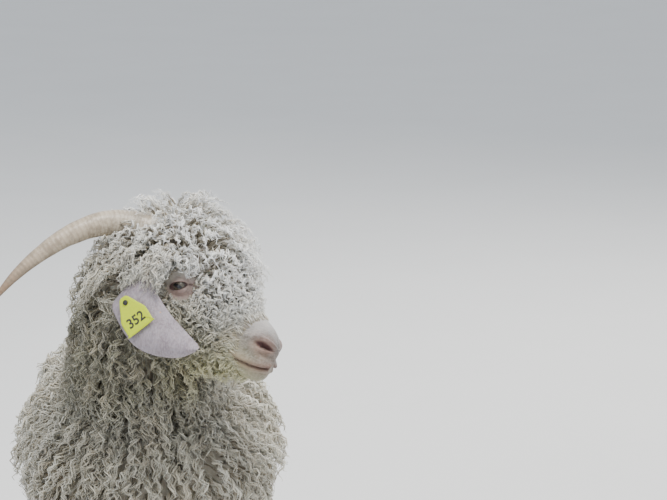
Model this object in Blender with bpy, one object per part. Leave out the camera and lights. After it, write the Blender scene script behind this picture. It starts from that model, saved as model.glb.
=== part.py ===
"""Angora goat, life size, standing square on four feet with its head turned to its left.

Metres, +Z up. The goat faces -Y, so its left side is +X. The origin is on the floor under the
middle of its bounding box. Every fleece node is a core about a third of the coat deep, with
rounded locks rooted in it that reach the coat's tips.
"""

import math
import random

import bmesh
import bpy
import numpy as np
from mathutils import Vector

# Driving sizes, in metres and degrees
GAP = 0.0003  # clearance between neighbouring nodes
CUTTER_SIZE = 1.6
CORE_SHARE = 0.35  # share of the coat's depth that the smooth core fills
WITHERS = 0.56  # height of the skin over the shoulders
SEED = 5

# Body line: centre x, y, z, half width, half depth, coat depth, from chest to rump
TORSO_ROWS = (
    (0.0, -0.298, WITHERS - 0.165, 0.028, 0.032, 0.045),
    (0.0, -0.272, WITHERS - 0.166, 0.088, 0.082, 0.050),
    (0.0, -0.215, WITHERS - 0.163, 0.125, 0.112, 0.054),
    (0.0, -0.120, WITHERS - 0.164, 0.141, 0.114, 0.056),
    (0.0, 0.010, WITHERS - 0.170, 0.135, 0.110, 0.055),
    (0.0, 0.140, WITHERS - 0.177, 0.127, 0.108, 0.054),
    (0.0, 0.260, WITHERS - 0.171, 0.115, 0.101, 0.052),
    (0.0, 0.350, WITHERS - 0.157, 0.094, 0.084, 0.050),
    (0.0, 0.405, WITHERS - 0.148, 0.064, 0.056, 0.047),
    (0.0, 0.430, WITHERS - 0.142, 0.022, 0.021, 0.042),
)
NARROWER_ABOVE = 0.35  # share by which the trunk narrows up to its spine

# Neck line, from inside the shoulders up to the skull. Its angle 0 is the throat.
NECK_ROWS = (
    (0.000, -0.130, 0.440, 0.070, 0.085, 0.045),
    (0.000, -0.195, 0.500, 0.072, 0.088, 0.048),
    (0.000, -0.250, 0.560, 0.058, 0.070, 0.050),
    (0.000, -0.288, 0.618, 0.051, 0.058, 0.054),
    (-0.002, -0.302, 0.655, 0.047, 0.048, 0.054),
    (-0.003, -0.306, 0.690, 0.036, 0.036, 0.052),
    (-0.003, -0.308, 0.712, 0.014, 0.014, 0.044),
)

# Left legs; the right ones are the same with x turned round
FRONT_LEG_ROWS = (
    (0.082, -0.150, 0.380, 0.030, 0.040, 0.026),
    (0.081, -0.152, 0.330, 0.038, 0.048, 0.030),
    (0.079, -0.155, 0.250, 0.030, 0.036, 0.028),
    (0.077, -0.156, 0.185, 0.0245, 0.027, 0.021),
    (0.076, -0.156, 0.120, 0.0165, 0.0185, 0.017),
    (0.076, -0.160, 0.072, 0.0195, 0.0215, 0.010),
    (0.076, -0.168, 0.046, 0.0185, 0.0200, 0.005),
    (0.076, -0.174, 0.020, 0.0215, 0.0245, 0.000),
)
HIND_LEG_ROWS = (
    (0.086, 0.258, 0.400, 0.040, 0.060, 0.030),
    (0.088, 0.256, 0.340, 0.046, 0.072, 0.033),
    (0.088, 0.268, 0.270, 0.036, 0.050, 0.030),
    (0.086, 0.305, 0.215, 0.0265, 0.033, 0.023),
    (0.085, 0.325, 0.178, 0.0235, 0.028, 0.019),
    (0.084, 0.320, 0.120, 0.0175, 0.0200, 0.016),
    (0.084, 0.312, 0.074, 0.0200, 0.0225, 0.010),
    (0.084, 0.302, 0.046, 0.0185, 0.0205, 0.005),
    (0.084, 0.296, 0.020, 0.0215, 0.0245, 0.000),
)
TAIL_ROWS = (
    (0.0, 0.385, 0.462, 0.022, 0.018, 0.020),
    (0.0, 0.425, 0.482, 0.020, 0.015, 0.025),
    (0.0, 0.460, 0.510, 0.016, 0.011, 0.028),
    (0.0, 0.485, 0.545, 0.011, 0.008, 0.026),
    (0.0, 0.495, 0.575, 0.004, 0.004, 0.022),
)

LEG_TOP = 0.300  # where a leg's node begins, just under the trunk's skin
# Upright column that a leg's node fills up to LEG_TOP: middle y, half width, half depth
FRONT_COLUMN = (-0.155, 0.078, 0.078)
HIND_COLUMN = (0.285, 0.083, 0.112)
COLUMN_SIDES = 12
LEG_BRANCH = 0.205  # below this height the leg's node has no side walls
HOOF_TOP = 0.034
NECK_CUT = ((0.0, -0.215, 0.500), (0.0, -0.62, 0.785))  # point and direction towards the head
TAIL_CUT = ((0.0, 0.452, 0.494), (0.0, 0.80, 0.60))

# Head, in its own axes: x to the nose, y to its left, z up, origin midway between the eyes
HEAD_PLACE = (0.065, -0.330, 0.665)
HEAD_TURN = 63.0  # from straight ahead towards its left
HEAD_DIP = 19.6  # nose down
HEAD_TILT = 13.0  # left side lower
# x, top, underside, half width, height of the widest point, coat on top, sides and underside
HEAD_ROWS = (
    (-0.092, 0.020, -0.036, 0.020, -0.010, 0.045, 0.045, 0.045),
    (-0.080, 0.045, -0.058, 0.041, -0.010, 0.050, 0.052, 0.046),
    (-0.058, 0.060, -0.070, 0.052, -0.010, 0.062, 0.049, 0.042),
    (-0.028, 0.063, -0.077, 0.056, -0.008, 0.061, 0.034, 0.040),
    (0.004, 0.053, -0.078, 0.057, -0.004, 0.055, 0.024, 0.036),
    (0.034, 0.038, -0.074, 0.048, -0.010, 0.044, 0.019, 0.034),
    (0.064, 0.024, -0.070, 0.038, -0.018, 0.030, 0.015, 0.030),
    (0.092, 0.011, -0.069, 0.0315, -0.024, 0.014, 0.004, 0.020),
    (0.113, 0.003, -0.0725, 0.0290, -0.030, 0.003, 0.000, 0.006),
    (0.129, -0.005, -0.0715, 0.0265, -0.037, 0.000, 0.000, 0.000),
    (0.1385, -0.015, -0.067, 0.0205, -0.043, 0.000, 0.000, 0.000),
    (0.1445, -0.028, -0.060, 0.0115, -0.046, 0.000, 0.000, 0.000),
)
HEAD_CUT = ((-0.050, 0.045, -0.045), (0.35, -0.50, 0.79))  # in head axes, towards the face
HEAD_SQUARENESS = 2.35  # 2 is an oval

EYE_CENTRE = (0.000, 0.0465, 0.002)
EYE_RADIUS = 0.0130
LID_THICKNESS = 0.0030
LID_OPENING = (0.0115, 0.0056)  # half length and half height
LID_SLANT = 22.0  # front corner up
BARE_RING = (0.020, 0.042)  # coat grows between these distances from the eye

NOSTRIL_CENTRE = (0.1300, 0.0225, -0.0252)
NOSTRIL_HALF = (0.0105, 0.0075, 0.0036)
NOSTRIL_TURN = -32.0  # follows the muzzle round to the front
MOUTH_CORNER = 0.094
MOUTH_LINE = ((0.088, -0.0575), (0.107, -0.0605), (0.125, -0.0610), (0.140, -0.0580), (0.160, -0.0500))
MOUTH_GAP = 0.0016
MOUTH_DEPTH = 0.0090

# Horn centre line in head axes, with its radius: base on the poll, back, out and down
HORN_ROWS = (
    (-0.034, 0.026, 0.040, 0.0185, 0.0205, 0.0),
    (-0.066, 0.035, 0.051, 0.0178, 0.0200, 0.0),
    (-0.100, 0.046, 0.048, 0.0168, 0.0192, 0.0),
    (-0.132, 0.066, 0.034, 0.0152, 0.0172, 0.0),
    (-0.158, 0.093, 0.004, 0.0126, 0.0142, 0.0),
    (-0.177, 0.117, -0.034, 0.0094, 0.0105, 0.0),
    (-0.190, 0.135, -0.072, 0.0062, 0.0068, 0.0),
    (-0.199, 0.147, -0.111, 0.0022, 0.0024, 0.0),
)

# Ear in head axes, left side: the line from its root to its tip, hanging down and forward
EAR_LINE = (
    (-0.046, 0.048, 0.010),
    (-0.034, 0.088, 0.000),
    (-0.008, 0.094, -0.018),
    (0.020, 0.096, -0.0335),
    (0.054, 0.097, -0.0455),
    (0.077, 0.096, -0.053),
)
EAR_ACROSS = (-0.493, 0.0, -0.870)  # from its straight front edge to its full rear edge
EAR_WIDTH = 0.066
EAR_OUTLINE = ((0.0, 0.50), (0.10, 0.86), (0.20, 0.95), (0.50, 1.0), (0.70, 0.87), (0.80, 0.70), (0.90, 0.48), (1.0, 0.22))
EAR_THICKNESS = 0.0036
EAR_CUP = 0.007  # how far its middle stands out past its edges
EAR_FLARE = 0.010  # how far its rear lobe stands off the cheek

# Ear tag, in two plates held by a pin through the right ear
TAG_PIN = (0.292, 0.614)  # share of the ear's length and of its width
TAG_SIZE = (0.042, 0.042, 0.0018)  # width at the foot, height under the pin, thickness
TAG_LEAN = (0.86, 0.0, -0.51)
TAG_OUTLINE = (
    (0.18, -0.20),
    (0.33, -0.14),
    (0.50, 0.00),
    (0.70, 0.20),
    (0.90, 0.38),
    (1.00, 0.52),
    (1.00, 0.93),
    (0.94, 1.00),
)
TAG_FRONT_STAND = 0.0036  # from the ear's middle to the plate's middle
TAG_BACK_STAND = 0.0085
TAG_BACK_TURN = 12.0
PIN_RADIUS = 0.0022
PIN_HEAD = (0.0036, 0.0014)  # radius and thickness

# Claws: height, length, width, shift to the rear
CLAW_ROWS = (
    (0.0, 0.055, 0.0212, 0.000),
    (0.003, 0.058, 0.0225, 0.000),
    (0.018, 0.053, 0.0215, 0.002),
    (HOOF_TOP - GAP / 2, 0.044, 0.0200, 0.005),
)
CLAW_SPLIT = 0.0030  # between the two claws of a foot
FRONT_FOOT = (0.076, -0.176)
HIND_FOOT = (0.084, 0.294)

# Fleece
HUG = 0.75  # how closely a lock follows the body's curve
LEAST_COAT = 0.011
LOCK_LENGTH = 0.95  # of the spacing
LOCK_WIDTH = 0.41
LOCK_ROWS = 0.85
LOCK_DEPTH = 0.33  # half thickness, of the coat's depth
LOCK_SIDES = 5
LOCK_SECTIONS = ((0.0, 0.75), (0.42, 1.0), (0.84, 0.78))
TORSO_SPACING = 0.124
NECK_SPACING = 0.086
HEAD_SPACING = 0.054
LEG_SPACING = 0.150
TAIL_SPACING = 0.070
EAR_CLEARANCE = 0.024  # from a lock's middle line to the ear
EYE_CLEARANCE = 0.036
TO_ORIGIN = (0.008, -0.0235, 0.0)  # puts the origin under the middle of the bounding box
HORN_RIDGE = 0.03


def unit(vector):
    """The vector at length 1."""
    vector = np.asarray(vector, float)
    return vector / np.linalg.norm(vector)


def turn_about(axis, degrees):
    """Rotation matrix about a unit axis."""
    x, y, z = axis
    angle = math.radians(degrees)
    cross = np.array(((0, -z, y), (z, 0, -x), (-y, x, 0)))
    return np.eye(3) + math.sin(angle) * cross + (1 - math.cos(angle)) * cross @ cross


def head_axes():
    """Columns are the head's forward, left and up directions in the world."""
    turn, dip = math.radians(HEAD_TURN), math.radians(HEAD_DIP)
    forward = np.array((math.sin(turn) * math.cos(dip), -math.cos(turn) * math.cos(dip), -math.sin(dip)))
    left = unit(np.cross((0, 0, 1), forward))
    left = turn_about(forward, -HEAD_TILT) @ left
    return np.column_stack((forward, left, np.cross(forward, left)))


HEAD_AXES = head_axes()


def on_head(point):
    """A point in head axes, as a world point."""
    return np.asarray(HEAD_PLACE) + HEAD_AXES @ np.asarray(point, float)


def mirrored(point, side):
    """The point on the goat's left (side 1) or right (side -1)."""
    return np.array((point[0], point[1] * side, point[2]), float)


def smooth_row(rows, place):
    """Row at a place counted in rows, on a Catmull-Rom curve through them."""
    last = len(rows) - 1
    place = min(max(place, 0.0), float(last))
    index = min(int(place), last - 1)
    f = place - index
    before, here, after, beyond = (rows[min(max(index + k, 0), last)] for k in (-1, 0, 1, 2))
    return 0.5 * (
        2 * here
        + (after - before) * f
        + (2 * before - 5 * here + 4 * after - beyond) * f**2
        + (3 * here - before - 3 * after + beyond) * f**3
    )


class Loft:
    """Oval sections strung along a smooth line, with a coat whose depth goes from row to row."""

    def __init__(self, rows, across=(1, 0, 0), flip=1):
        self.rows = np.array(rows, float)
        self.rows[:, 0] *= flip
        self.across = np.array(across, float)
        self.last = len(rows) - 1

    def frame(self, place):
        """Direction along the line, across it and up from it."""
        step = 0.05
        ahead = smooth_row(self.rows, place + step)[:3]
        behind = smooth_row(self.rows, place - step)[:3]
        along = unit(ahead - behind)
        side = unit(self.across - along * (self.across @ along))
        return along, side, np.cross(side, along)

    def skin(self, place, angle):
        row = smooth_row(self.rows, place)
        _, side, up = self.frame(place)
        width = row[3] * (1 - self.narrowing * max(math.cos(angle), 0.0))
        return row[:3] + side * math.sin(angle) * width + up * math.cos(angle) * row[4]

    def coat(self, place, angle):
        return max(smooth_row(self.rows, place)[5], 0.0)

    def slopes(self, place, angle):
        """How the skin moves for a step along the line and for a turn round it."""
        step = 0.03
        low, high = max(place - step, 0.0), min(place + step, float(self.last))
        along = (self.skin(high, angle) - self.skin(low, angle)) / (high - low)
        return along, (self.skin(place, angle + step) - self.skin(place, angle - step)) / (2 * step)

    def normal(self, place, angle):
        """Outward direction of the skin."""
        step = 0.02
        low, high = max(place - step, 0.0), min(place + step, float(self.last))
        along = self.skin(high, angle) - self.skin(low, angle)
        round_it = self.skin(place, angle + step) - self.skin(place, angle - step)
        return unit(np.cross(along, round_it)) * self.outward

    outward = -1.0
    narrowing = 0.0

    def surface(self, place, angle, share):
        """Point that share of the coat's depth out from the skin."""
        return self.skin(place, angle) + self.normal(place, angle) * self.coat(place, angle) * share

    def girth(self, place):
        row = smooth_row(self.rows, place)
        return math.pi * (row[3] + row[4] + 2 * row[5] * CORE_SHARE)

    def rings(self, places, around, share):
        return [
            [self.surface(p, 2 * math.pi * k / around, share) for k in range(around)]
            for p in places
        ]

    def ends(self, share):
        """The two poles, pushed out by the coat."""
        first, last = self.rows[0], self.rows[-1]
        start = first[:3] - self.frame(0)[0] * (first[5] * share + 0.4 * first[4])
        end = last[:3] + self.frame(self.last)[0] * (last[5] * share + 0.4 * last[4])
        return start, end


class Head(Loft):
    """Skull and jaws: sections across the head's own x axis, rounder above than below."""

    outward = 1.0

    def frame(self, place):
        return HEAD_AXES[:, 0], HEAD_AXES[:, 1], HEAD_AXES[:, 2]

    def local_skin(self, place, angle):
        x, top, under, width, widest = smooth_row(self.rows, place)[:5]
        power = 2 / HEAD_SQUARENESS
        side, up = math.sin(angle), math.cos(angle)
        y = width * math.copysign(abs(side) ** power, side)
        reach = (top - widest) if up > 0 else (widest - under)
        return np.array((x, y, widest + reach * math.copysign(abs(up) ** power, up)))

    def skin(self, place, angle):
        return on_head(self.local_skin(place, angle))

    def coat(self, place, angle):
        """Top, side and underside depths, blended, and none round the eyes."""
        row = smooth_row(self.rows, place)
        up = math.cos(angle)
        ends = row[5] if up > 0 else row[7]
        depth = row[6] + (ends - row[6]) * abs(up) ** 1.5
        local = self.local_skin(place, angle)
        eye = mirrored(EYE_CENTRE, math.copysign(1, local[1]))
        bare, full = BARE_RING
        clear = min(max((np.linalg.norm(local - eye) - bare) / (full - bare), 0.0), 1.0)
        return max(depth, 0.0) * clear

    def girth(self, place):
        row = smooth_row(self.rows, place)
        return math.pi * (row[3] + (row[1] - row[2]) / 2 + 2 * row[6] * CORE_SHARE)

    def ends(self, share):
        back, front = self.rows[0], self.rows[-1]
        start = on_head((back[0] - 0.006 - back[6] * share, 0, (back[1] + back[2]) / 2))
        end = on_head((front[0] + 0.0015, 0, (front[1] + front[2]) / 2))
        return start, end


def new_object(name, mesh, collection):
    obj = bpy.data.objects.new(name, mesh)
    collection.objects.link(obj)
    return obj


def ring_mesh(name, rings, start, end):
    """Closed mesh over rings of points, with a point at each end."""
    around = len(rings[0])
    points = [tuple(p) for ring in rings for p in ring] + [tuple(start), tuple(end)]
    first, last = len(points) - 2, len(points) - 1
    top = (len(rings) - 1) * around
    faces = []
    for k in range(around):
        after = (k + 1) % around
        faces.append((first, after, k))
        faces.append((last, top + k, top + after))
        for ring in range(len(rings) - 1):
            low = ring * around
            faces.append((low + k, low + after, low + around + after, low + around + k))
    mesh = bpy.data.meshes.new(name)
    mesh.from_pydata(points, [], faces)
    face_out(mesh)
    return mesh


def face_out(mesh):
    """Normals recalculated outwards, with quads left as they are."""
    bm = bmesh.new()
    bm.from_mesh(mesh)
    bmesh.ops.recalc_face_normals(bm, faces=bm.faces)
    if bm.calc_volume(signed=True) < 0:
        bmesh.ops.reverse_faces(bm, faces=bm.faces)
    bm.to_mesh(mesh)
    bm.free()


def lofted(name, loft, stations, around, share, collection):
    places = np.linspace(0, loft.last, stations)
    start, end = loft.ends(share)
    return new_object(name, ring_mesh(name, loft.rings(places, around, share), start, end), collection)


def applied(obj):
    """The object's mesh with its modifiers in it."""
    graph = bpy.context.evaluated_depsgraph_get()
    bpy.context.view_layer.update()
    mesh = bpy.data.meshes.new_from_object(obj.evaluated_get(graph))
    obj.modifiers.clear()
    obj.data = mesh
    return obj


def boolean(obj, operation, other=None, collection=None, solver="MANIFOLD"):
    modifier = obj.modifiers.new(operation.lower(), "BOOLEAN")
    modifier.operation = operation
    modifier.solver = solver
    if collection is None:
        modifier.object = other
    else:
        modifier.operand_type = "COLLECTION"
        modifier.collection = collection
    return applied(obj)


def fuse(obj, pieces):
    """One union with all the pieces in a collection, which are then removed."""
    if len(pieces.objects):
        boolean(obj, "UNION", collection=pieces)
    for piece in list(pieces.objects):
        bpy.data.objects.remove(piece, do_unlink=True)
    bpy.data.collections.remove(pieces)


def cut_away(obj, *cutters):
    for cutter in cutters:
        boolean(obj, "DIFFERENCE", cutter)


def keep_largest(obj):
    """Only the largest closed surface stays."""
    bm = bmesh.new()
    bm.from_mesh(obj.data)
    bm.verts.ensure_lookup_table()
    unseen, shells = set(bm.verts), []
    while unseen:
        shell, edge = set(), [unseen.pop()]
        while edge:
            vertex = edge.pop()
            shell.add(vertex)
            near = {e.other_vert(vertex) for e in vertex.link_edges} & unseen
            unseen -= near
            edge.extend(near)
        shells.append(shell)
    kept = max(shells, key=len)
    bmesh.ops.delete(bm, geom=[v for v in bm.verts if v not in kept], context="VERTS")
    bm.to_mesh(obj.data)
    bm.free()


def piece_collection(name):
    pieces = bpy.data.collections.new(name)
    bpy.context.scene.collection.children.link(pieces)
    return pieces


def half_space(name, cut, side, axes=None):
    """Large block over one side of a cut (1 where its direction points), and half the gap more."""
    point, toward = np.array(cut[0], float), unit(cut[1])
    if axes is not None:
        point, toward = on_head(point), axes @ toward
    direction = toward * side
    centre = point + direction * (CUTTER_SIZE / 2 - GAP / 2)
    bpy.ops.mesh.primitive_cube_add(size=CUTTER_SIZE, location=centre)
    block = bpy.context.object
    block.name = name
    block.rotation_mode = "QUATERNION"
    block.rotation_quaternion = Vector(direction).to_track_quat("Z", "Y")
    return to_cutters(block)


def to_cutters(obj):
    for owner in list(obj.users_collection):
        owner.objects.unlink(obj)
    CUTTERS.objects.link(obj)
    obj.hide_render = True
    obj.display_type = "WIRE"
    return obj


def block_between(name, low, high):
    """Axis-aligned cutter block."""
    low, high = np.array(low, float), np.array(high, float)
    bpy.ops.mesh.primitive_cube_add(size=1, location=(low + high) / 2)
    block = bpy.context.object
    block.name = name
    block.scale = high - low
    return to_cutters(block)


def material(name, colour, roughness):
    made = bpy.data.materials.new(name)
    made.use_nodes = True
    shader = made.node_tree.nodes["Principled BSDF"]
    shader.inputs["Base Color"].default_value = (*colour, 1)
    shader.inputs["Roughness"].default_value = roughness
    shader.inputs["Metallic"].default_value = 0
    return made


def finish(obj, look, name=None):
    """Names the node, gives its material and smooths its round faces."""
    obj.name = name or obj.name
    obj.data.name = obj.name
    obj.data.materials.clear()
    obj.data.materials.append(look)
    obj.data.shade_smooth()
    obj.data.set_sharp_from_angle(angle=math.radians(50))
    for owner in list(obj.users_collection):
        owner.objects.unlink(obj)
    GOAT.objects.link(obj)
    return obj


def lock(loft, place, angle, lie, length, width, allowed, pieces):
    """One rounded lock: sunk at its root, out to the coat's tips, then lying along the body."""
    coat = loft.coat(place, angle)
    thick = min(LOCK_DEPTH * coat, 0.7 * width)
    core, sunk = coat * CORE_SHARE, 0.9 * thick + 0.002
    crest = coat - 0.92 * thick - core
    root, normal = loft.skin(place, angle), loft.normal(place, angle)
    lie = unit(lie - normal * (lie @ normal))
    per_place, per_angle = loft.slopes(place, angle)
    steps = np.linalg.lstsq(np.column_stack((per_place, per_angle)), lie, rcond=None)[0]

    def centre(t):
        along = length * t**1.6
        out = core - sunk + (crest + sunk) * math.sin(min(1.5 * t, 1.0) * math.pi / 2)
        free = root + normal * out + lie * along
        where, turn = place + steps[0] * along, angle + steps[1] * along
        if not 0 <= where <= loft.last:
            return free
        held = loft.skin(where, turn) + loft.normal(where, turn) * out
        return held * HUG + free * (1 - HUG)

    if not all(allowed(centre(t)) for t in (0.5, 1.0)):
        return
    rings, twist = [], RANDOM.uniform(0, 1)
    for t, share in LOCK_SECTIONS:
        heading = unit(centre(t + 0.05) - centre(max(t - 0.05, 0.0)))
        side = unit(np.cross(heading, normal))
        up = np.cross(side, heading)
        ring = []
        for k in range(LOCK_SIDES):
            turn = math.tau * (k + twist) / LOCK_SIDES
            ring.append(centre(t) + share * (side * width * math.cos(turn) + up * thick * math.sin(turn)))
        rings.append(ring)
    start = centre(0.0) - normal * 0.3 * thick
    mesh = ring_mesh("lock", rings, start, centre(1.0))
    new_object("lock", mesh, pieces)


def evenly(loft, low, high, spacing):
    """Places the same distance apart over a loft's skin, as near to the spacing as they come."""
    places = np.linspace(low, high, 60)
    quarters = [math.pi * k / 2 for k in range(4)]
    skin = np.array([[loft.skin(p, a) for a in quarters] for p in places])
    steps = np.linalg.norm(np.diff(skin, axis=0), axis=2).mean(axis=1)
    along = np.concatenate(((0.0,), np.cumsum(steps)))
    rows = max(1, round(along[-1] / spacing))
    return [float(np.interp(along[-1] * (k + 0.5) / rows, along, places)) for k in range(rows)]


def dress(loft, low, high, spacing, lie_of, allowed, pieces):
    """Staggered rows of locks over part of a loft."""
    for row, place in enumerate(evenly(loft, low, high, spacing * LOCK_ROWS)):
        count = max(3, round(loft.girth(place) / spacing))
        for k in range(count):
            where = place + RANDOM.uniform(-0.08, 0.08)
            turn = math.tau * (k + 0.5 * (row % 2) + RANDOM.uniform(-0.15, 0.15)) / count
            where = min(max(where, low), high)
            if loft.coat(where, turn) < LEAST_COAT:
                continue
            point = loft.surface(where, turn, 1.0)
            if not allowed(point):
                continue
            size = spacing * RANDOM.uniform(0.9, 1.1)
            stray = np.array([RANDOM.uniform(-0.22, 0.22) for _ in range(3)])
            lie = np.asarray(lie_of(point, loft.normal(where, turn)), float) + stray
            lock(loft, where, turn, lie, size * LOCK_LENGTH, size * LOCK_WIDTH, allowed, pieces)


def clear_of_face(point):
    """Whether a point keeps off the ears and the eyes, so that no lock hides them."""
    for side in (1, -1):
        if np.linalg.norm(on_head(mirrored(EYE_CENTRE, side)) - point) < EYE_CLEARANCE:
            return False
        for u in (0.3, 0.5, 0.7):
            for v in (0.2, 0.6):
                if np.linalg.norm(ear_point(side, u, v, 0) - point) < EAR_CLEARANCE:
                    return False
    return True


def hanging(point, normal):
    """Down and a little to the rear, and away from the middle of the back."""
    return np.array((0.5 * math.copysign(1, point[0]) * max(normal[2], 0), 0.30, -1.0))


def down_the_neck(point, normal):
    return np.array((0.3 * normal[0], 0.15, -1.0))


def down_the_leg(point, normal):
    return np.array((0.0, 0.1, -1.0))


def over_the_head(point, normal):
    """Forward over the brow, down on the cheeks."""
    brow = max(float(HEAD_AXES[:, 2] @ normal), 0.0)
    return HEAD_AXES[:, 0] * (1.1 * brow) + np.array((0.0, 0.0, -1.0)) * (1.1 - 0.6 * brow)


def body():
    """The whole of the goat's flesh and fleece as one closed form."""
    torso, neck, tail = Loft(TORSO_ROWS), Loft(NECK_ROWS), Loft(TAIL_ROWS)
    torso.narrowing = NARROWER_ABOVE
    head = Head(HEAD_ROWS, (0, 1, 0))
    whole = lofted("torso", torso, 16, 18, CORE_SHARE, GOAT)
    pieces = piece_collection("pieces")
    lofted("neck core", neck, 8, 14, CORE_SHARE, pieces)
    lofted("head core", head, 24, 20, CORE_SHARE, pieces)
    lofted("tail core", tail, 6, 8, CORE_SHARE, pieces)
    legs = [Loft(rows, flip=side) for rows in (FRONT_LEG_ROWS, HIND_LEG_ROWS) for side in (1, -1)]
    for leg in legs:
        lofted("leg core", leg, 10, 8, CORE_SHARE, pieces)
    dress(torso, 0.2, 8.9, TORSO_SPACING, hanging, anywhere, pieces)
    dress(neck, 0.6, 5.4, NECK_SPACING, down_the_neck, anywhere, pieces)
    dress(head, 0.2, 9.0, HEAD_SPACING, over_the_head, clear_of_face, pieces)
    dress(tail, 1.0, 3.2, TAIL_SPACING, down_the_leg, anywhere, pieces)
    for leg in legs:
        dress(leg, 1.6, leg.last - 1.6, LEG_SPACING, down_the_leg, anywhere, pieces)
    for side in (1, -1):
        lids(side, pieces)
    fuse(whole, pieces)
    keep_largest(whole)
    return whole


def anywhere(point):
    return True


def ball(name, side, radius, collection, segments=14, rings=7):
    """Sphere at an eye, its poles on the head's y axis."""
    bm = bmesh.new()
    bmesh.ops.create_uvsphere(bm, u_segments=segments, v_segments=rings, radius=radius)
    for vertex in bm.verts:
        x, y, z = vertex.co
        vertex.co = on_head(mirrored(EYE_CENTRE, side) + np.array((x, z, -y)))
    mesh = bpy.data.meshes.new(name)
    bm.to_mesh(mesh)
    bm.free()
    face_out(mesh)
    return new_object(name, mesh, collection)


def lids(side, pieces):
    ball("lids", side, EYE_RADIUS + LID_THICKNESS, pieces, 16, 8)


def on_head_rings(name, rings, start, end, collection):
    """Closed mesh from rings given in head axes."""
    rings = [[on_head(p) for p in ring] for ring in rings]
    return new_object(name, ring_mesh(name, rings, on_head(start), on_head(end)), collection)


def eye_opening(side):
    """Almond-shaped cutter through the lids, its front corner higher."""
    half_length, half_height = LID_OPENING
    slant, count, rings = math.radians(LID_SLANT), 16, []
    centre = mirrored(EYE_CENTRE, side)
    for out in (0.002, 0.020):
        ring = []
        for k in range(count):
            turn = math.tau * k / count
            along = half_length * math.cos(turn)
            up = half_height * math.sin(turn) * abs(math.sin(turn)) ** 0.5
            spread = 1 + 14 * out
            x = (along * math.cos(slant) - up * math.sin(slant)) * spread
            z = (along * math.sin(slant) + up * math.cos(slant)) * spread
            ring.append(centre + np.array((x, side * (EYE_RADIUS * 0.3 + out), z)))
        rings.append(ring)
    middle = [sum(ring) / count for ring in rings]
    return to_cutters(on_head_rings("eye opening", rings, middle[0], middle[1], CUTTERS))


def nostril(side):
    """Comma-shaped cutter: an ellipsoid, lying along the side of the nose."""
    bm = bmesh.new()
    bmesh.ops.create_uvsphere(bm, u_segments=14, v_segments=8, radius=1)
    turn = turn_about((0, 0, 1), NOSTRIL_TURN * side) @ turn_about((0, 1, 0), 10)
    for vertex in bm.verts:
        local = np.array(vertex.co) * NOSTRIL_HALF
        vertex.co = on_head(mirrored(NOSTRIL_CENTRE, side) + turn @ local)
    mesh = bpy.data.meshes.new("nostril")
    bm.to_mesh(mesh)
    bm.free()
    face_out(mesh)
    return to_cutters(new_object("nostril", mesh, CUTTERS))


def mouth():
    """Thin curved slot between the lips, open at the front and sides only as deep as the lips."""
    head, rings = Head(HEAD_ROWS, (0, 1, 0)), []
    line = np.array(MOUTH_LINE)
    places = np.linspace(7.3, 10.9, 12)
    outline = []
    for place in places:
        x, _, _, width = smooth_row(head.rows, place)[:4]
        outline.append((x, width))
    outline = [(x, w) for x, w in outline if x > MOUTH_CORNER]
    for grow in (0.004, -MOUTH_DEPTH):
        rim = [(x, w + grow) for x, w in outline]
        rim += [(outline[-1][0] + 0.0035 + grow, 0.5 * outline[-1][1] + 0.4 * grow)]
        rings.append(rim + [(x, -w) for x, w in reversed(rim)])
    outer, inner = rings

    def level(x, half):
        return float(np.interp(x, line[:, 0], line[:, 1])) + half

    slot = []
    for half in (-MOUTH_GAP / 2, MOUTH_GAP / 2):
        slot.append([on_head((x, y, level(x, half))) for x, y in outer])
    plug = []
    for half in (-MOUTH_GAP, MOUTH_GAP):
        plug.append([on_head((x, y, level(x, half))) for x, y in inner])
    solids = []
    for name, (low, high) in (("mouth", slot), ("mouth core", plug)):
        solids.append(to_cutters(prism(name, low, high)))
    cut_away(solids[0], solids[1])
    return solids[0]


def prism(name, low, high):
    """Closed strip mesh between two outlines that run down one side and back up the other."""
    count, half = len(low), len(low) // 2
    faces = []
    for k in range(half - 1):
        across, across_next = count - 1 - k, count - 2 - k
        faces.append((k, k + 1, across_next, across))
        faces.append((count + across, count + across_next, count + k + 1, count + k))
    for k in range(count):
        after = (k + 1) % count
        faces.append((k, after, count + after, count + k))
    mesh = bpy.data.meshes.new(name)
    mesh.from_pydata([tuple(p) for p in low + high], [], faces)
    face_out(mesh)
    return new_object(name, mesh, CUTTERS)


def horn(side, collection):
    """Tapering oval loft with shallow rings."""
    rows = np.array(HORN_ROWS)
    places = np.linspace(0, len(rows) - 1, 14)
    line = [on_head(mirrored(smooth_row(rows, p), side)) for p in places]
    rings = []
    for index, place in enumerate(places):
        ahead, behind = line[min(index + 1, len(line) - 1)], line[max(index - 1, 0)]
        heading = unit(ahead - behind)
        across = unit(np.cross(heading, HEAD_AXES[:, 2]))
        up = np.cross(across, heading)
        wide, deep = smooth_row(rows, place)[3:5]
        ridge = 1 + (HORN_RIDGE if index % 2 else 0) * (2 < index < 12)
        turns = [math.tau * k / 10 for k in range(10)]
        rings.append(
            [line[index] + ridge * (across * wide * math.cos(t) + up * deep * math.sin(t)) for t in turns]
        )
    start = line[0] - unit(line[1] - line[0]) * 0.001
    end = line[-1] + unit(line[-1] - line[-2]) * 0.003
    name = "horn_left" if side > 0 else "horn_right"
    return new_object(name, ring_mesh(name, rings, start, end), collection)


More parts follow.
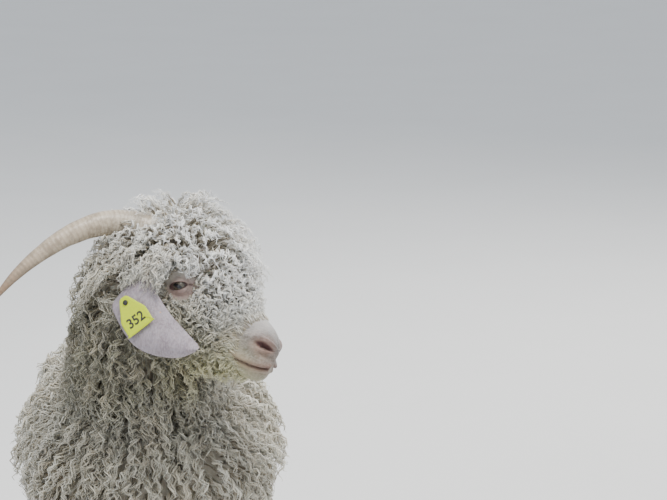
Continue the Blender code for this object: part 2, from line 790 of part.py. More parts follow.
def ear_point(side, u, v, out):
    """Point of the ear's leaf: u from root to tip, v from its front edge to its rear edge."""
    rows = np.array(EAR_LINE)
    centre = smooth_row(rows, u * (len(rows) - 1))
    along = unit(rows[-1] - rows[1])
    across = unit(np.array(EAR_ACROSS) - along * (along @ np.array(EAR_ACROSS)))
    face = np.cross(along, across)
    width = EAR_WIDTH * np.interp(u, *zip(*EAR_OUTLINE))
    swell = EAR_CUP * math.sin(math.pi * min(max(v, 0.0), 1.0)) + EAR_FLARE * v * max(1 - u, 0) ** 2
    local = centre + across * width * (v - 0.04) + face * (swell + out)
    return on_head(mirrored(local, side))


def ear(side, collection):
    """Leaf with an outer and an inner face, thin at its edges."""
    us, vs = np.linspace(0, 1, 9), np.linspace(0, 1, 5)
    rings = []
    for u in us:
        thin = EAR_THICKNESS / 2 * (1.2 - 0.45 * u)
        outer, inner = [], []
        for v in vs:
            half = thin * math.sin(math.pi * (0.1 + 0.8 * v)) ** 0.4
            outer.append(ear_point(side, u, v, half))
            inner.append(ear_point(side, u, v, -half))
        rings.append(outer + inner[::-1])
    name = "ear_left" if side > 0 else "ear_right"
    start = ear_point(side, 0, 0.5, 0) - unit(rings[1][3] - rings[0][3]) * 0.002
    end = ear_point(side, 1, 0.5, 0) + (rings[-1][3] - rings[-2][3]) * 0.2
    return new_object(name, ring_mesh(name, rings, start, end), collection)


def tag_frame():
    """Pin's place on the right ear, its axis outwards, and the tag's downward direction."""
    u, v = TAG_PIN
    place = ear_point(-1, u, v, 0)
    near = [ear_point(-1, u + a, v + b, 0) for a, b in ((-0.05, 0), (0.05, 0), (0, -0.15), (0, 0.15))]
    axis = unit(np.cross(near[1] - near[0], near[3] - near[2]))
    if axis @ HEAD_AXES[:, 1] > 0:
        axis = -axis
    down = HEAD_AXES @ np.array(TAG_LEAN)
    return place, axis, unit(down - axis * (down @ axis))


def disc(name, centre, axis, radius, height, collection, around=10):
    """Short cylinder standing on a point."""
    side = unit(np.cross(axis, (0.2, 0.3, 0.9)))
    up = np.cross(axis, side)
    turns = [math.tau * k / around for k in range(around)]
    rings = [
        [centre + axis * h + radius * (side * math.cos(t) + up * math.sin(t)) for t in turns]
        for h in (0, height)
    ]
    mesh = ring_mesh(name, rings, centre, centre + axis * height)
    return new_object(name, mesh, collection)


def tag_plate(name, side, turn, collection):
    """Flat plate, narrow round the pin, widening to a broad foot; side -1 is behind the ear."""
    place, axis, down = tag_frame()
    down = turn_about(axis, turn) @ down
    across = np.cross(axis, down)
    width, height, thick = TAG_SIZE
    outline = [(x * width / 2, y * height) for x, y in TAG_OUTLINE]
    outline += [(-x, y) for x, y in reversed(outline)]
    middle = 0.45 * height
    stand = TAG_FRONT_STAND if side > 0 else -TAG_BACK_STAND
    rings = []
    for h in (-thick / 2, thick / 2):
        base = place + axis * (stand + h)
        rings.append([base + across * x + down * y for x, y in outline])
    start, end = (place + axis * (stand + h) + down * middle for h in (-thick / 2, thick / 2))
    return new_object(name, ring_mesh(name, rings, start, end), collection)


def tag_pin():
    """Rivet through both plates and the ear, with a flat head at each end."""
    place, axis, _ = tag_frame()
    half = TAG_SIZE[2] / 2
    front, back = TAG_FRONT_STAND + half + GAP, -TAG_BACK_STAND - half - GAP
    radius, height = PIN_HEAD
    pin = disc("ear_tag_pin", place + axis * (back - height), axis, radius, height, GOAT)
    pieces = piece_collection("pin pieces")
    disc("shaft", place + axis * (back - height / 2), axis, PIN_RADIUS, front - back + height, pieces)
    disc("head", place + axis * front, axis, radius, height, pieces)
    fuse(pin, pieces)
    return pin


def pin_hole():
    place, axis, _ = tag_frame()
    depth = 2 * TAG_BACK_STAND
    return to_cutters(disc("pin hole", place - axis * depth, axis, PIN_RADIUS + GAP, 2 * depth, CUTTERS))


def claw(name, centre, side):
    """One half of a foot: flat sole, upright inner wall, rounded outer wall, sloping at the toe."""
    rings, count = [], 8
    for height, length, width, shift in CLAW_ROWS:
        ring = []
        for k in range(count + 1):
            turn = math.pi * k / count
            x = width * math.sin(turn) ** 0.75
            y = -math.cos(turn) * length / 2 + shift
            ring.append((x, y, height))
        rings.append([np.array((centre[0] + side * (CLAW_SPLIT / 2 + x), centre[1] + y, z)) for x, y, z in ring])
    start, end = sum(rings[0]) / len(rings[0]), sum(rings[-1]) / len(rings[-1])
    return new_object(name, ring_mesh(name, rings, start, end), GOAT)


def leg_region(name, rows, column, side, grow):
    """Space that a leg's node takes: a column up into the belly's fleece and all below it."""
    y, wide, deep = column
    height = LEG_TOP + grow
    place = (rows[2][0] * side, y, height / 2)
    bpy.ops.mesh.primitive_cylinder_add(vertices=COLUMN_SIDES, radius=1, depth=1, location=place)
    region = to_cutters(bpy.context.object)
    region.name = name
    region.scale = (wide + grow, deep + grow, height)
    low = (GAP / 2 - grow if side > 0 else -0.4, -0.5 if y < 0 else 0.05 - grow, -0.2)
    high = (0.4 if side > 0 else -GAP / 2 + grow, 0.05 + grow if y < 0 else 0.6, LEG_BRANCH + grow)
    return boolean(region, "UNION", block_between(name + " block", low, high))


def copy_of(obj, name):
    return new_object(name, obj.data.copy(), GOAT)


def room_for(obj):
    """Cutter a gap wider than the object on every side. Both take the same triangles."""
    bm = bmesh.new()
    bm.from_mesh(obj.data)
    bmesh.ops.triangulate(bm, faces=bm.faces)
    bm.to_mesh(obj.data)
    bm.normal_update()
    moved = [v.co + v.normal * 1.4 * GAP * min(v.calc_shell_factor(), 4.0) for v in bm.verts]
    for vertex, place in zip(bm.verts, moved):
        vertex.co = place
    mesh = bpy.data.meshes.new(obj.name + " room")
    bm.to_mesh(mesh)
    bm.free()
    return to_cutters(new_object(mesh.name, mesh, CUTTERS))


def outer_parts(looks):
    """Eyes, horns, ears and tag. Returns the cutters that make room for them in the head."""
    made, pockets = {}, [mouth()]
    for side, word in ((1, "left"), (-1, "right")):
        made["eye_" + word] = ball("eye_" + word, side, EYE_RADIUS, GOAT), "eye"
        made["horn_" + word] = horn(side, GOAT), "horn"
        made["ear_" + word] = ear(side, GOAT), "ear"
        pockets += [eye_opening(side), nostril(side)]
    made["ear_tag_front"] = tag_plate("ear_tag_front", 1, 0, GOAT), "tag"
    made["ear_tag_back"] = tag_plate("ear_tag_back", -1, TAG_BACK_TURN, GOAT), "tag back"
    rooms = {name: room_for(obj) for name, (obj, _) in made.items()}
    made["ear_tag_pin"] = tag_pin(), "pin"
    rooms["ear_tag_pin"] = room_for(made["ear_tag_pin"][0])
    hole, back = pin_hole(), made["ear_tag_back"][0]
    cut_away(made["ear_right"][0], hole)
    cut_away(made["ear_tag_front"][0], hole)
    cut_away(back, hole, rooms["ear_right"])
    keep_largest(back)
    for obj, look in made.values():
        finish(obj, looks[look])
    return pockets + list(rooms.values()) + [made["ear_left"][0], made["ear_right"][0]]


def build():
    looks = {
        "fleece": material("cream fleece", (0.62, 0.56, 0.45), 0.92),
        "face": material("short face hair", (0.60, 0.50, 0.43), 0.85),
        "ear": material("pink ear skin", (0.47, 0.34, 0.33), 0.75),
        "horn": material("horn", (0.50, 0.42, 0.30), 0.55),
        "hoof": material("hoof", (0.16, 0.12, 0.09), 0.5),
        "eye": material("eye", (0.16, 0.11, 0.06), 0.15),
        "tag": material("yellow plastic", (0.80, 0.60, 0.06), 0.42),
        "tag back": material("orange plastic", (0.75, 0.36, 0.05), 0.42),
        "pin": material("dark pin", (0.06, 0.05, 0.04), 0.4),
    }
    whole = body()
    pockets = outer_parts(looks)
    behind_head = half_space("behind the head", HEAD_CUT, -1, HEAD_AXES)
    before_head = half_space("the head's side", HEAD_CUT, 1, HEAD_AXES)
    behind_neck = half_space("behind the neck", NECK_CUT, -1)
    before_neck = half_space("the neck's side", NECK_CUT, 1)
    head = copy_of(whole, "head")
    cut_away(head, behind_head, *pockets)
    neck = copy_of(whole, "neck")
    cut_away(neck, before_head, behind_neck, *pockets)
    tail = copy_of(whole, "tail")
    cut_away(tail, half_space("before the tail", TAIL_CUT, -1))
    foot_level = block_between("below the legs", (-0.5, -0.7, -0.3), (0.5, 0.7, HOOF_TOP + GAP / 2))
    applied(foot_level)
    legs, rooms = [], []
    for rows, column, end in ((FRONT_LEG_ROWS, FRONT_COLUMN, "front"), (HIND_LEG_ROWS, HIND_COLUMN, "hind")):
        for side, word in ((1, "left"), (-1, "right")):
            leg = copy_of(whole, f"leg_{end}_{word}")
            boolean(leg, "INTERSECT", leg_region("leg region", rows, column, side, 0))
            cut_away(leg, foot_level)
            legs.append(leg)
            rooms.append(leg_region("leg room", rows, column, side, GAP))
    torso = whole
    cut_away(torso, before_neck, half_space("the tail's side", TAIL_CUT, 1), *rooms)
    for part, look in ((head, "face"), (neck, "fleece"), (torso, "fleece"), (tail, "fleece")):
        keep_largest(part)
        finish(part, looks[look])
    for leg in legs:
        keep_largest(leg)
        finish(leg, looks["fleece"])
    for (x, y), end in ((FRONT_FOOT, "front"), (HIND_FOOT, "hind")):
        for side, word in ((1, "left"), (-1, "right")):
            for half, place in ((1, "outer"), (-1, "inner")):
                name = f"claw_{end}_{word}_{place}"
                finish(claw(name, (x * side, y), half * side), looks["hoof"])
    for obj in GOAT.objects:
        for vertex in obj.data.vertices:
            vertex.co += Vector(TO_ORIGIN)


def main():
    global GOAT, CUTTERS, RANDOM
    for obj in list(bpy.data.objects):
        bpy.data.objects.remove(obj, do_unlink=True)
    RANDOM = random.Random(SEED)
    GOAT = piece_collection("angora_goat")
    CUTTERS = piece_collection("cutters")
    build()


if __name__ == "__main__":
    main()
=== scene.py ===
"""Looks of a life-size standing angora goat: skin, curly fleece, horns, eyes, hooves and ear tag."""

import math
import random

import bmesh
import bpy
import numpy as np
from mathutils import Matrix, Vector
from mathutils.bvhtree import BVHTree
from mathutils.kdtree import KDTree


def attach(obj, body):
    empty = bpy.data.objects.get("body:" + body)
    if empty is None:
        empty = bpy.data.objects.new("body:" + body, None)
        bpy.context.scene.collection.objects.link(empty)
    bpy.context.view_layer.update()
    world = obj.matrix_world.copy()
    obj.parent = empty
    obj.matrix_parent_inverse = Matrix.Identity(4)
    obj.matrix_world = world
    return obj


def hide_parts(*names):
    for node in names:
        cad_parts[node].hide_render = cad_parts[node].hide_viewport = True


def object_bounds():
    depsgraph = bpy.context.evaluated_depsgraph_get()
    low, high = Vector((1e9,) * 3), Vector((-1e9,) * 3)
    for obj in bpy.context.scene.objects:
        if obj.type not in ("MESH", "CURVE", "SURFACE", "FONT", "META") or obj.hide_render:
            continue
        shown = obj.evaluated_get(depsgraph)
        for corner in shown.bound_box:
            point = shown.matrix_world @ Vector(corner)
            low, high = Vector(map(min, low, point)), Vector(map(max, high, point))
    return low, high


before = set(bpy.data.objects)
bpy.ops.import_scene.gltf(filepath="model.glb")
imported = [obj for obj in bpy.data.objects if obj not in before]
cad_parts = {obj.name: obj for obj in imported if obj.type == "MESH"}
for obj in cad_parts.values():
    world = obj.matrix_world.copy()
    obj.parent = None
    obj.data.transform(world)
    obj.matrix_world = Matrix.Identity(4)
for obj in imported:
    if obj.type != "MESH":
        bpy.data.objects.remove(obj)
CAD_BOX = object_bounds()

# Camera: the photograph's view, 667 by 500 pixels
VIEW_AZIMUTH = -3.0
VIEW_ELEVATION = 11.0
VIEW_DISTANCE = 4.0
VIEW_TARGET = (0.262, -0.3330, 0.7114)
LENS_MM = 160.0
SENSOR_MM = 36.0

# Body, in metres, in the frame's own axes: the goat faces -Y and its left side is +X.
# Each row: middle of the section (x, y, z), half its width, half its height, depth of the coat.
TO_ORIGIN = np.array((0.008, -0.0235, 0.0))
WITHERS = 0.56
TORSO_ROWS = (
    (0.0, -0.298, WITHERS - 0.165, 0.028, 0.032, 0.045),
    (0.0, -0.272, WITHERS - 0.166, 0.088, 0.082, 0.050),
    (0.0, -0.215, WITHERS - 0.163, 0.125, 0.112, 0.054),
    (0.0, -0.120, WITHERS - 0.164, 0.141, 0.114, 0.056),
    (0.0, 0.010, WITHERS - 0.170, 0.135, 0.110, 0.055),
    (0.0, 0.140, WITHERS - 0.177, 0.127, 0.108, 0.054),
    (0.0, 0.260, WITHERS - 0.171, 0.115, 0.101, 0.052),
    (0.0, 0.350, WITHERS - 0.157, 0.094, 0.084, 0.050),
    (0.0, 0.405, WITHERS - 0.148, 0.064, 0.056, 0.047),
    (0.0, 0.430, WITHERS - 0.142, 0.022, 0.021, 0.042),
)
NARROWER_ABOVE = 0.35
NECK_ROWS = (
    (0.000, -0.130, 0.440, 0.070, 0.085, 0.045),
    (0.000, -0.195, 0.500, 0.072, 0.088, 0.048),
    (0.000, -0.250, 0.560, 0.058, 0.070, 0.050),
    (0.000, -0.288, 0.618, 0.051, 0.058, 0.054),
    (-0.002, -0.302, 0.655, 0.047, 0.048, 0.054),
    (-0.003, -0.306, 0.690, 0.036, 0.036, 0.052),
    (-0.003, -0.308, 0.712, 0.014, 0.014, 0.044),
)
FRONT_LEG_ROWS = (
    (0.082, -0.150, 0.380, 0.030, 0.040, 0.026),
    (0.081, -0.152, 0.330, 0.038, 0.048, 0.030),
    (0.079, -0.155, 0.250, 0.030, 0.036, 0.028),
    (0.077, -0.156, 0.185, 0.0245, 0.027, 0.021),
    (0.076, -0.156, 0.120, 0.0165, 0.0185, 0.017),
    (0.076, -0.160, 0.072, 0.0195, 0.0215, 0.010),
    (0.076, -0.168, 0.046, 0.0185, 0.0200, 0.005),
    (0.076, -0.174, 0.020, 0.0195, 0.0225, 0.000),
)
HIND_LEG_ROWS = (
    (0.086, 0.258, 0.400, 0.040, 0.060, 0.030),
    (0.088, 0.256, 0.340, 0.046, 0.072, 0.033),
    (0.088, 0.268, 0.270, 0.036, 0.050, 0.030),
    (0.086, 0.305, 0.215, 0.0265, 0.033, 0.023),
    (0.085, 0.325, 0.178, 0.0235, 0.028, 0.019),
    (0.084, 0.320, 0.120, 0.0175, 0.0200, 0.016),
    (0.084, 0.312, 0.074, 0.0200, 0.0225, 0.010),
    (0.084, 0.302, 0.046, 0.0185, 0.0205, 0.005),
    (0.084, 0.296, 0.020, 0.0195, 0.0225, 0.000),
)
TAIL_ROWS = (
    (0.0, 0.385, 0.462, 0.022, 0.018, 0.020),
    (0.0, 0.425, 0.482, 0.020, 0.015, 0.025),
    (0.0, 0.460, 0.510, 0.016, 0.011, 0.028),
    (0.0, 0.485, 0.545, 0.011, 0.008, 0.026),
    (0.0, 0.495, 0.575, 0.004, 0.004, 0.022),
)

# Head, in its own axes: x to the nose, y to its left, z up, origin midway between the eyes.
# Each row: x, top, underside, half width, height of the widest, depth of the coat above, beside and below.
HEAD_PLACE = np.array((0.065, -0.330, 0.665)) + TO_ORIGIN
HEAD_TURN = 63.0
HEAD_DIP = 19.6
HEAD_TILT = 13.0
HEAD_ROWS = (
    (-0.092, 0.020, -0.036, 0.020, -0.010, 0.045, 0.045, 0.045),
    (-0.080, 0.045, -0.058, 0.041, -0.010, 0.050, 0.052, 0.046),
    (-0.058, 0.060, -0.070, 0.052, -0.010, 0.062, 0.049, 0.042),
    (-0.028, 0.063, -0.077, 0.056, -0.008, 0.061, 0.034, 0.040),
    (0.004, 0.053, -0.078, 0.057, -0.004, 0.055, 0.024, 0.036),
    (0.034, 0.038, -0.074, 0.048, -0.010, 0.044, 0.019, 0.034),
    (0.064, 0.024, -0.070, 0.038, -0.018, 0.030, 0.015, 0.030),
    (0.092, 0.011, -0.069, 0.0315, -0.024, 0.014, 0.004, 0.020),
    (0.113, 0.003, -0.0725, 0.0290, -0.030, 0.003, 0.000, 0.006),
    (0.129, -0.005, -0.0715, 0.0265, -0.037, 0.000, 0.000, 0.000),
    (0.1385, -0.015, -0.067, 0.0205, -0.043, 0.000, 0.000, 0.000),
    (0.1445, -0.028, -0.060, 0.0115, -0.046, 0.000, 0.000, 0.000),
)
HEAD_SQUARENESS = 2.35
# Rises and hollows of the face: height, then place and width along the head, then place and width upwards
FACE_FORMS = (
    (-0.0020, 0.114, 0.009, -0.044, 0.008),
    (0.0016, 0.104, 0.012, -0.052, 0.007),
    (-0.0022, 0.110, 0.016, -0.012, 0.008),
    (0.0034, -0.004, 0.018, 0.021, 0.007),
    (-0.0034, 0.021, 0.010, -0.001, 0.010),
    (0.0024, 0.006, 0.024, -0.020, 0.007),
    (-0.0022, 0.070, 0.022, -0.030, 0.014),
)
# The same across the front of the nose: height, then place and width upwards
NOSE_FORMS = (
    (-0.0030, -0.0375, 0.0042),
    (0.0022, -0.0490, 0.0055),
    (0.0012, -0.0210, 0.0070),
)

# Eyes and lids: half the opening, and its slant in degrees
EYE_CENTRE = np.array((0.000, 0.0465, 0.002))
EYE_RADIUS = 0.0130
LID_HALF = (0.0115, 0.0047)
LID_SLANT = 33.0
LID_REACH = 0.0215
LID_BLEND = 0.0035
LID_CREASES = (
    (0.0011, 0.235, 0.045, 1),
    (0.0007, 0.200, 0.050, -1),
)
# Lid from inside the opening outwards: share of the way to its outer circle, height over the eyeball
LID_PROFILE = (
    (-0.9, -0.0020), (-0.5, -0.0020), (-0.12, -0.0020), (0.0, -0.0014), (0.010, 0.0006), (0.022, 0.0017),
    (0.045, 0.0022), (0.085, 0.0025), (0.14, 0.0027), (0.20, 0.0030), (0.27, 0.0030), (0.35, 0.0031),
    (0.44, 0.0031), (0.54, 0.0031), (0.65, 0.0031), (0.77, 0.0031), (0.89, 0.0031), (1.0, 0.0031),
)
RAY_START = 0.05
RAY_REACH = 0.08
# Where round the eye the fleece starts, and where it reaches its full depth
BARE_RING = (0.0165, 0.036)
# Markings: middle, stretch along each axis, and the distances between which they fade
GREY_HEAD = ((-0.01, 0, 0.075), (0.8, 1, 1.1), (0.07, 0.16))
STAINED_CHIN = ((0.085, 0.0, -0.095), (0.8, 1, 0.75), (0.015, 0.075))
# Ends of the brown streak on the brow, and the distances between which it fades
BROW_STREAK = ((-0.011, -0.028, 0.084), (0.040, -0.028, 0.054))
BROW_STREAK_FADE = (0.004, 0.017)

# Nostrils and mouth
NOSTRIL_CENTRE = np.array((0.1330, 0.0218, -0.0272))
NOSTRIL_HALF = (0.0170, 0.0048)
NOSTRIL_TURN = -32.0
NOSTRIL_DEPTH = 0.0080
MOUTH_CORNER = 0.088
MOUTH_LINE = (
    (0.0800, -0.0524),
    (0.0920, -0.0552),
    (0.1070, -0.0572),
    (0.1250, -0.0574),
    (0.1400, -0.0544),
    (0.1600, -0.0464),
)
MOUTH_DEPTH = 0.0042
MOUTH_WIDTH = 0.0013
# The mouth's groove and the lips over and under it: height, then distance from the line and width
LIP_FORMS = (
    (-MOUTH_DEPTH, 0.0, MOUTH_WIDTH),
    (0.0016, 0.0048, 0.0036),
    (0.0013, -0.0040, 0.0026),
)

# Horns, in head axes: middle of the section, half its width, half its height
HORN_ROWS = (
    (-0.034, 0.026, 0.040, 0.0185, 0.0205),
    (-0.066, 0.035, 0.051, 0.0178, 0.0200),
    (-0.100, 0.046, 0.048, 0.0168, 0.0192),
    (-0.132, 0.066, 0.034, 0.0152, 0.0172),
    (-0.158, 0.093, 0.004, 0.0126, 0.0142),
    (-0.177, 0.117, -0.034, 0.0094, 0.0105),
    (-0.190, 0.135, -0.072, 0.0062, 0.0068),
    (-0.199, 0.147, -0.111, 0.0022, 0.0024),
)
HORN_TURNS = 40
HORN_RINGS = 170
RING_WAVES = 4

# Ears, in head axes: middle line from root to tip, and the width along it as shares of the full width
EAR_LINE = (
    (-0.046, 0.048, 0.010),
    (-0.034, 0.088, 0.000),
    (-0.008, 0.094, -0.018),
    (0.020, 0.096, -0.0335),
    (0.054, 0.097, -0.0455),
    (0.077, 0.096, -0.053),
)
EAR_ACROSS = (-0.493, 0.0, -0.870)
EAR_WIDTH = 0.066
EAR_OUTLINE = (0.50, 0.86, 0.95, 0.98, 1.0, 1.0, 0.97, 0.87, 0.70, 0.48, 0.16)
EAR_THICKNESS = 0.0036
EAR_CUP = 0.007
EAR_FLARE = 0.010

# Ear tag: the pin's place in shares of the right ear's length and width, then its plates
TAG_PIN = (0.292, 0.614)
TAG_SIZE = (0.042, 0.042, 0.0018)
TAG_LEAN = (0.86, 0.0, -0.51)
# Half of a plate's outline, in shares of half its width and of its height
TAG_OUTLINE = (
    (0.18, -0.20), (0.33, -0.14), (0.50, 0.00), (0.70, 0.20),
    (0.90, 0.38), (1.00, 0.52), (1.00, 0.93), (0.94, 1.00),
)
# A plate's edge from one face to the other: how far in, as a share, and the level between the faces
TAG_EDGE = ((0.5, -1), (0.12, -1), (0.03, -1), (0.0, -0.45), (0.0, 0.45), (0.03, 1), (0.12, 1), (0.5, 1))
TAG_POINTS = 64
TAG_FRONT_STAND = 0.0036
TAG_BACK_STAND = 0.0085
TAG_BACK_TURN = 12.0
TAG_NUMBER = "352"
PIN_RADIUS = 0.0022
PIN_HEAD = (0.0036, 0.0014)
# One end of the pin, from its top to its shaft: shares of the head's radius and of its height
PIN_PROFILE = ((0.4, 1.0), (0.85, 0.8), (1.0, 0.4), (1.0, 0.0), (PIN_RADIUS / PIN_HEAD[0], 0.0))
PLATE_GAP = 0.0003

# Claws: height, length, width, shift to the rear
CLAW_ROWS = (
    (0.0, 0.053, 0.0200, 0.000),
    (0.0015, 0.056, 0.0216, 0.000),
    (0.004, 0.058, 0.0225, 0.000),
    (0.018, 0.053, 0.0215, 0.002),
    (0.028, 0.047, 0.0206, 0.004),
    (0.034, 0.044, 0.0196, 0.005),
)
CLAW_SPLIT = 0.0030
FRONT_FOOT = (0.076, -0.176)
HIND_FOOT = (0.084, 0.294)

# Skin surface: rings along and points round each length of the body, and the size of its joined mesh
SKIN_STATIONS = {"torso": (60, 64), "neck": (36, 48), "tail": (24, 24), "leg": (56, 32)}
VOXEL = 0.005
VOXEL_SMOOTHING = 10

# Fleece of each region: root spacing, lock length for each metre of coat depth, a constant added to it,
# strand radius, curl radius, curl pitch, strands in a lock, their spread, points along a strand
SPACING, STRETCH, EXTRA, THICKNESS, CURL, PITCH, STRANDS, SPREAD, STEPS = range(9)
FLEECE = {
    "torso": (0.0166, 1.12, 0.011, 0.00225, 0.0038, 0.0200, 3, 0.0031, 14),
    "chest": (0.0104, 1.05, 0.010, 0.00115, 0.0036, 0.0170, 4, 0.0019, 14),
    "neck": (0.0094, 1.05, 0.012, 0.00115, 0.0039, 0.0175, 4, 0.0018, 15),
    "head": (0.0068, 0.70, 0.007, 0.00098, 0.0030, 0.0110, 4, 0.0017, 13),
    "tail": (0.0120, 1.20, 0.010, 0.00150, 0.0032, 0.0160, 3, 0.0020, 14),
    "leg": (0.0170, 1.10, 0.009, 0.00185, 0.0032, 0.0160, 3, 0.0024, 12),
    "face": (0.0040, 1.00, 0.000, 0.00065, 0.0006, 0.0300, 2, 0.0011, 8),
}
# What is known of a root: the number of its part in the list of body parts, its place along and round it,
# and the coat's depth there
PART, PLACE, ROUND, DEPTH = range(4)
HEAD_PART = 3.0
SEED = 7
LEAST_COAT = 0.0025
ROOT_SUNK = 0.0030
ROOT_TRIES = 5
# Where along a lock its middle line is set, and how closely it follows the skin there
GUIDE_SHARES = (0.0, 0.20, 0.42, 0.64, 0.84, 1.0)
HUG = 0.72
# Size of a strand's patch in the coat's texture map
PATCH = 0.003
STRAND_SIDES = 3
# Half the width of the strip along the back where locks fall to either side, and how quickly they swap
PARTING = 0.050
PARTING_WAVES = 700
# What locks keep free of: the tag, the horns and the eyes
TAG_MARGIN = 0.003
TAG_BEFORE = (-0.002, 0.040)
HORN_CLEARANCE = 0.0045
EYE_CLEARANCE = 0.0045
# Locks round each horn's root, over each ear, and of short hair where the fleece ends on the face
CUFF_LOCKS = 115
CUFF_RISE = 0.017
FRINGE_LOCKS = 170
DOWN_LOCKS = 1200
DOWN_BAND = (-0.020, 0.022)
# Loose wisps on the crown, in head axes: the root of each bunch, and how far it reaches
WISPS_IN_A_BUNCH = 5
WISPS = (
    (-0.060, -0.020, 0.082, -0.030, -0.016, 0.026),
    (-0.030, -0.010, 0.090, 0.022, 0.004, 0.024),
    (-0.045, 0.010, 0.090, 0.014, 0.010, 0.022),
    (-0.070, 0.030, 0.070, -0.030, 0.020, 0.024),
)
EAR_OVERLAP = 0.0040
# Front edge of the fleece on the face, beside, above and below, and how quickly the coat deepens behind it
FACE_LIMIT = (0.081, 0.093, 0.115)
FACE_TAPER = 0.62
# How far over the solids' top the coat may start to bend down, and how far it may rise past that
CEILING_OVER = 0.004
CEILING_ROOM = 0.016
TRIANGLES_A_PIECE = 190000

# Colours, each pair from dark to light
SKIN_UNDER_WOOL = ((0.34, 0.305, 0.24), (0.46, 0.425, 0.35))
SKIN_UNDER_GREY = (0.50, 0.47, 0.42)
# skin under the dark front of the neck: part dirt, part painted shade cast by the head
SKIN_UNDER_STAIN_AND_SHADE = (0.15, 0.125, 0.075)
MUZZLE_HAIR = ((0.075, 0.06, 0.053), (0.275, 0.25, 0.23))
MUZZLE_SKIN = ((0.09, 0.072, 0.064), (0.22, 0.194, 0.176))
# painted light: short hair on the top of the muzzle made lighter where the light falls on it
BRIDGE_PAINTED_LIGHT = (0.56, 0.535, 0.51)
NOSE_SKIN = ((0.135, 0.072, 0.053), (0.21, 0.126, 0.098))
LIP_SKIN = (0.18, 0.08, 0.067)
LID_SKIN = ((0.20, 0.096, 0.076), (0.31, 0.198, 0.16))
LID_EDGE = (0.055, 0.025, 0.02)
EAR_SKIN = ((0.165, 0.128, 0.15), (0.255, 0.215, 0.24))
EAR_DOWN = (0.37, 0.335, 0.355)
CHIN_STAIN = (0.42, 0.40, 0.17)
# painted shade: near black inside the nostrils and along the mouth's groove
NOSTRIL_AND_MOUTH_SHADE = (0.05, 0.014, 0.012)
WOOL_TIP = ((0.30, 0.27, 0.20), (0.74, 0.715, 0.61))
WOOL_ROOT = ((0.14, 0.108, 0.062), (0.32, 0.268, 0.18))
WOOL_GREY = ((0.80, 0.79, 0.76), (0.985, 0.985, 0.97))
# dark front of the neck: part dirt, part painted shade cast by the head; also the brow streak
WOOL_STAIN_AND_SHADE = ((0.062, 0.055, 0.025), (0.285, 0.262, 0.16))
WOOL_CHIN = ((0.36, 0.33, 0.12), (0.60, 0.57, 0.30))
WOOL_DIRT = (0.42, 0.34, 0.225)
WOOL_SHINE = (0.97, 0.95, 0.90)
HORN_BASE, HORN_MIDDLE, HORN_TIP = (0.50, 0.455, 0.375), (0.40, 0.33, 0.245), (0.20, 0.12, 0.07)
HORN_GRAIN, HORN_BAND = (0.19, 0.15, 0.105), (0.24, 0.18, 0.125)
IRIS = ((0.045, 0.038, 0.03), (0.15, 0.125, 0.09))
IRIS_EDGE, PUPIL = (0.014, 0.010, 0.008), (0.004, 0.004, 0.006)
CLAW = ((0.085, 0.062, 0.045), (0.21, 0.155, 0.10))
YELLOW_PLASTIC = ((0.46, 0.545, 0.002), (0.51, 0.585, 0.012))
ORANGE_PLASTIC = ((0.80, 0.36, 0.02), (0.84, 0.46, 0.10))
DARK_PLASTIC = ((0.03, 0.028, 0.025), (0.07, 0.065, 0.06))
FLOOR = ((0.74, 0.735, 0.72), (0.78, 0.775, 0.76))
SKY = (0.86, 0.92, 1.0)
SKY_STRENGTH = 0.9
# Lights: name, place, aim, size in metres, watts and colour
LIGHTS = (
    ("key", (0.5, -1.5, 3.4), (0, -0.2, 0.5), 1.4, 165, (1.0, 0.985, 0.95)),
    ("fill", (-2.4, -2.8, 1.8), (0, -0.2, 0.5), 2.2, 34, (0.95, 0.97, 1.0)),
    ("back", (1.6, 2.6, 2.8), (0, 0, 0.5), 1.6, 110, (1.0, 0.98, 0.94)),
)


def unit(vectors):
    vectors = np.asarray(vectors, float)
    return vectors / np.maximum(np.linalg.norm(vectors, axis=-1, keepdims=True), 1e-12)


def smoothstep(low, high, value):
    share = np.clip((np.asarray(value, float) - low) / (high - low), 0, 1)
    return share * share * (3 - 2 * share)


def turn_about(axis, degrees):
    x, y, z = axis
    angle = math.radians(degrees)
    cross = np.array(((0, -z, y), (z, 0, -x), (-y, x, 0)))
    return np.eye(3) + math.sin(angle) * cross + (1 - math.cos(angle)) * cross @ cross


def heading(azimuth, elevation):
    """Direction at an angle from -Y towards +X and an angle above the floor, in degrees."""
    turn, rise = math.radians(azimuth), math.radians(elevation)
    return np.array((math.sin(turn) * math.cos(rise), -math.cos(turn) * math.cos(rise), math.sin(rise)))


def head_axes():
    forward = heading(HEAD_TURN, -HEAD_DIP)
    left = turn_about(forward, -HEAD_TILT) @ unit(np.cross((0, 0, 1), forward))
    return np.column_stack((forward, left, np.cross(forward, left)))


HEAD_AXES = head_axes()


def on_head(points):
    return HEAD_PLACE + np.asarray(points, float) @ HEAD_AXES.T


def from_head(points):
    return (np.asarray(points, float) - HEAD_PLACE) @ HEAD_AXES


def mirrored(points, side):
    return np.asarray(points, float) * (1, side, 1)


def curve(before, here, after, beyond, f):
    """Catmull-Rom curve from one value to the next, at shares f of the way."""
    return 0.5 * (
        2 * here
        + (after - before) * f
        + (2 * before - 5 * here + 4 * after - beyond) * f**2
        + (3 * here - before - 3 * after + beyond) * f**3
    )


def smooth_rows(rows, place):
    """Rows at places counted in rows, on a smooth curve through them."""
    rows = np.asarray(rows, float)
    place = np.clip(np.asarray(place, float), 0, len(rows) - 1)
    index = np.minimum(place.astype(int), len(rows) - 2)
    near = (rows[np.clip(index + k, 0, len(rows) - 1)] for k in (-1, 0, 1, 2))
    return curve(*near, (place - index)[..., None])


def bell(value, centre, width):
    """1 at the centre, falling off smoothly on either side of it."""
    return np.exp(-(((value - centre) / width) ** 2))


def ring_turns(count):
    return np.arange(count) * math.tau / count


def side_word(side):
    return "left" if side > 0 else "right"


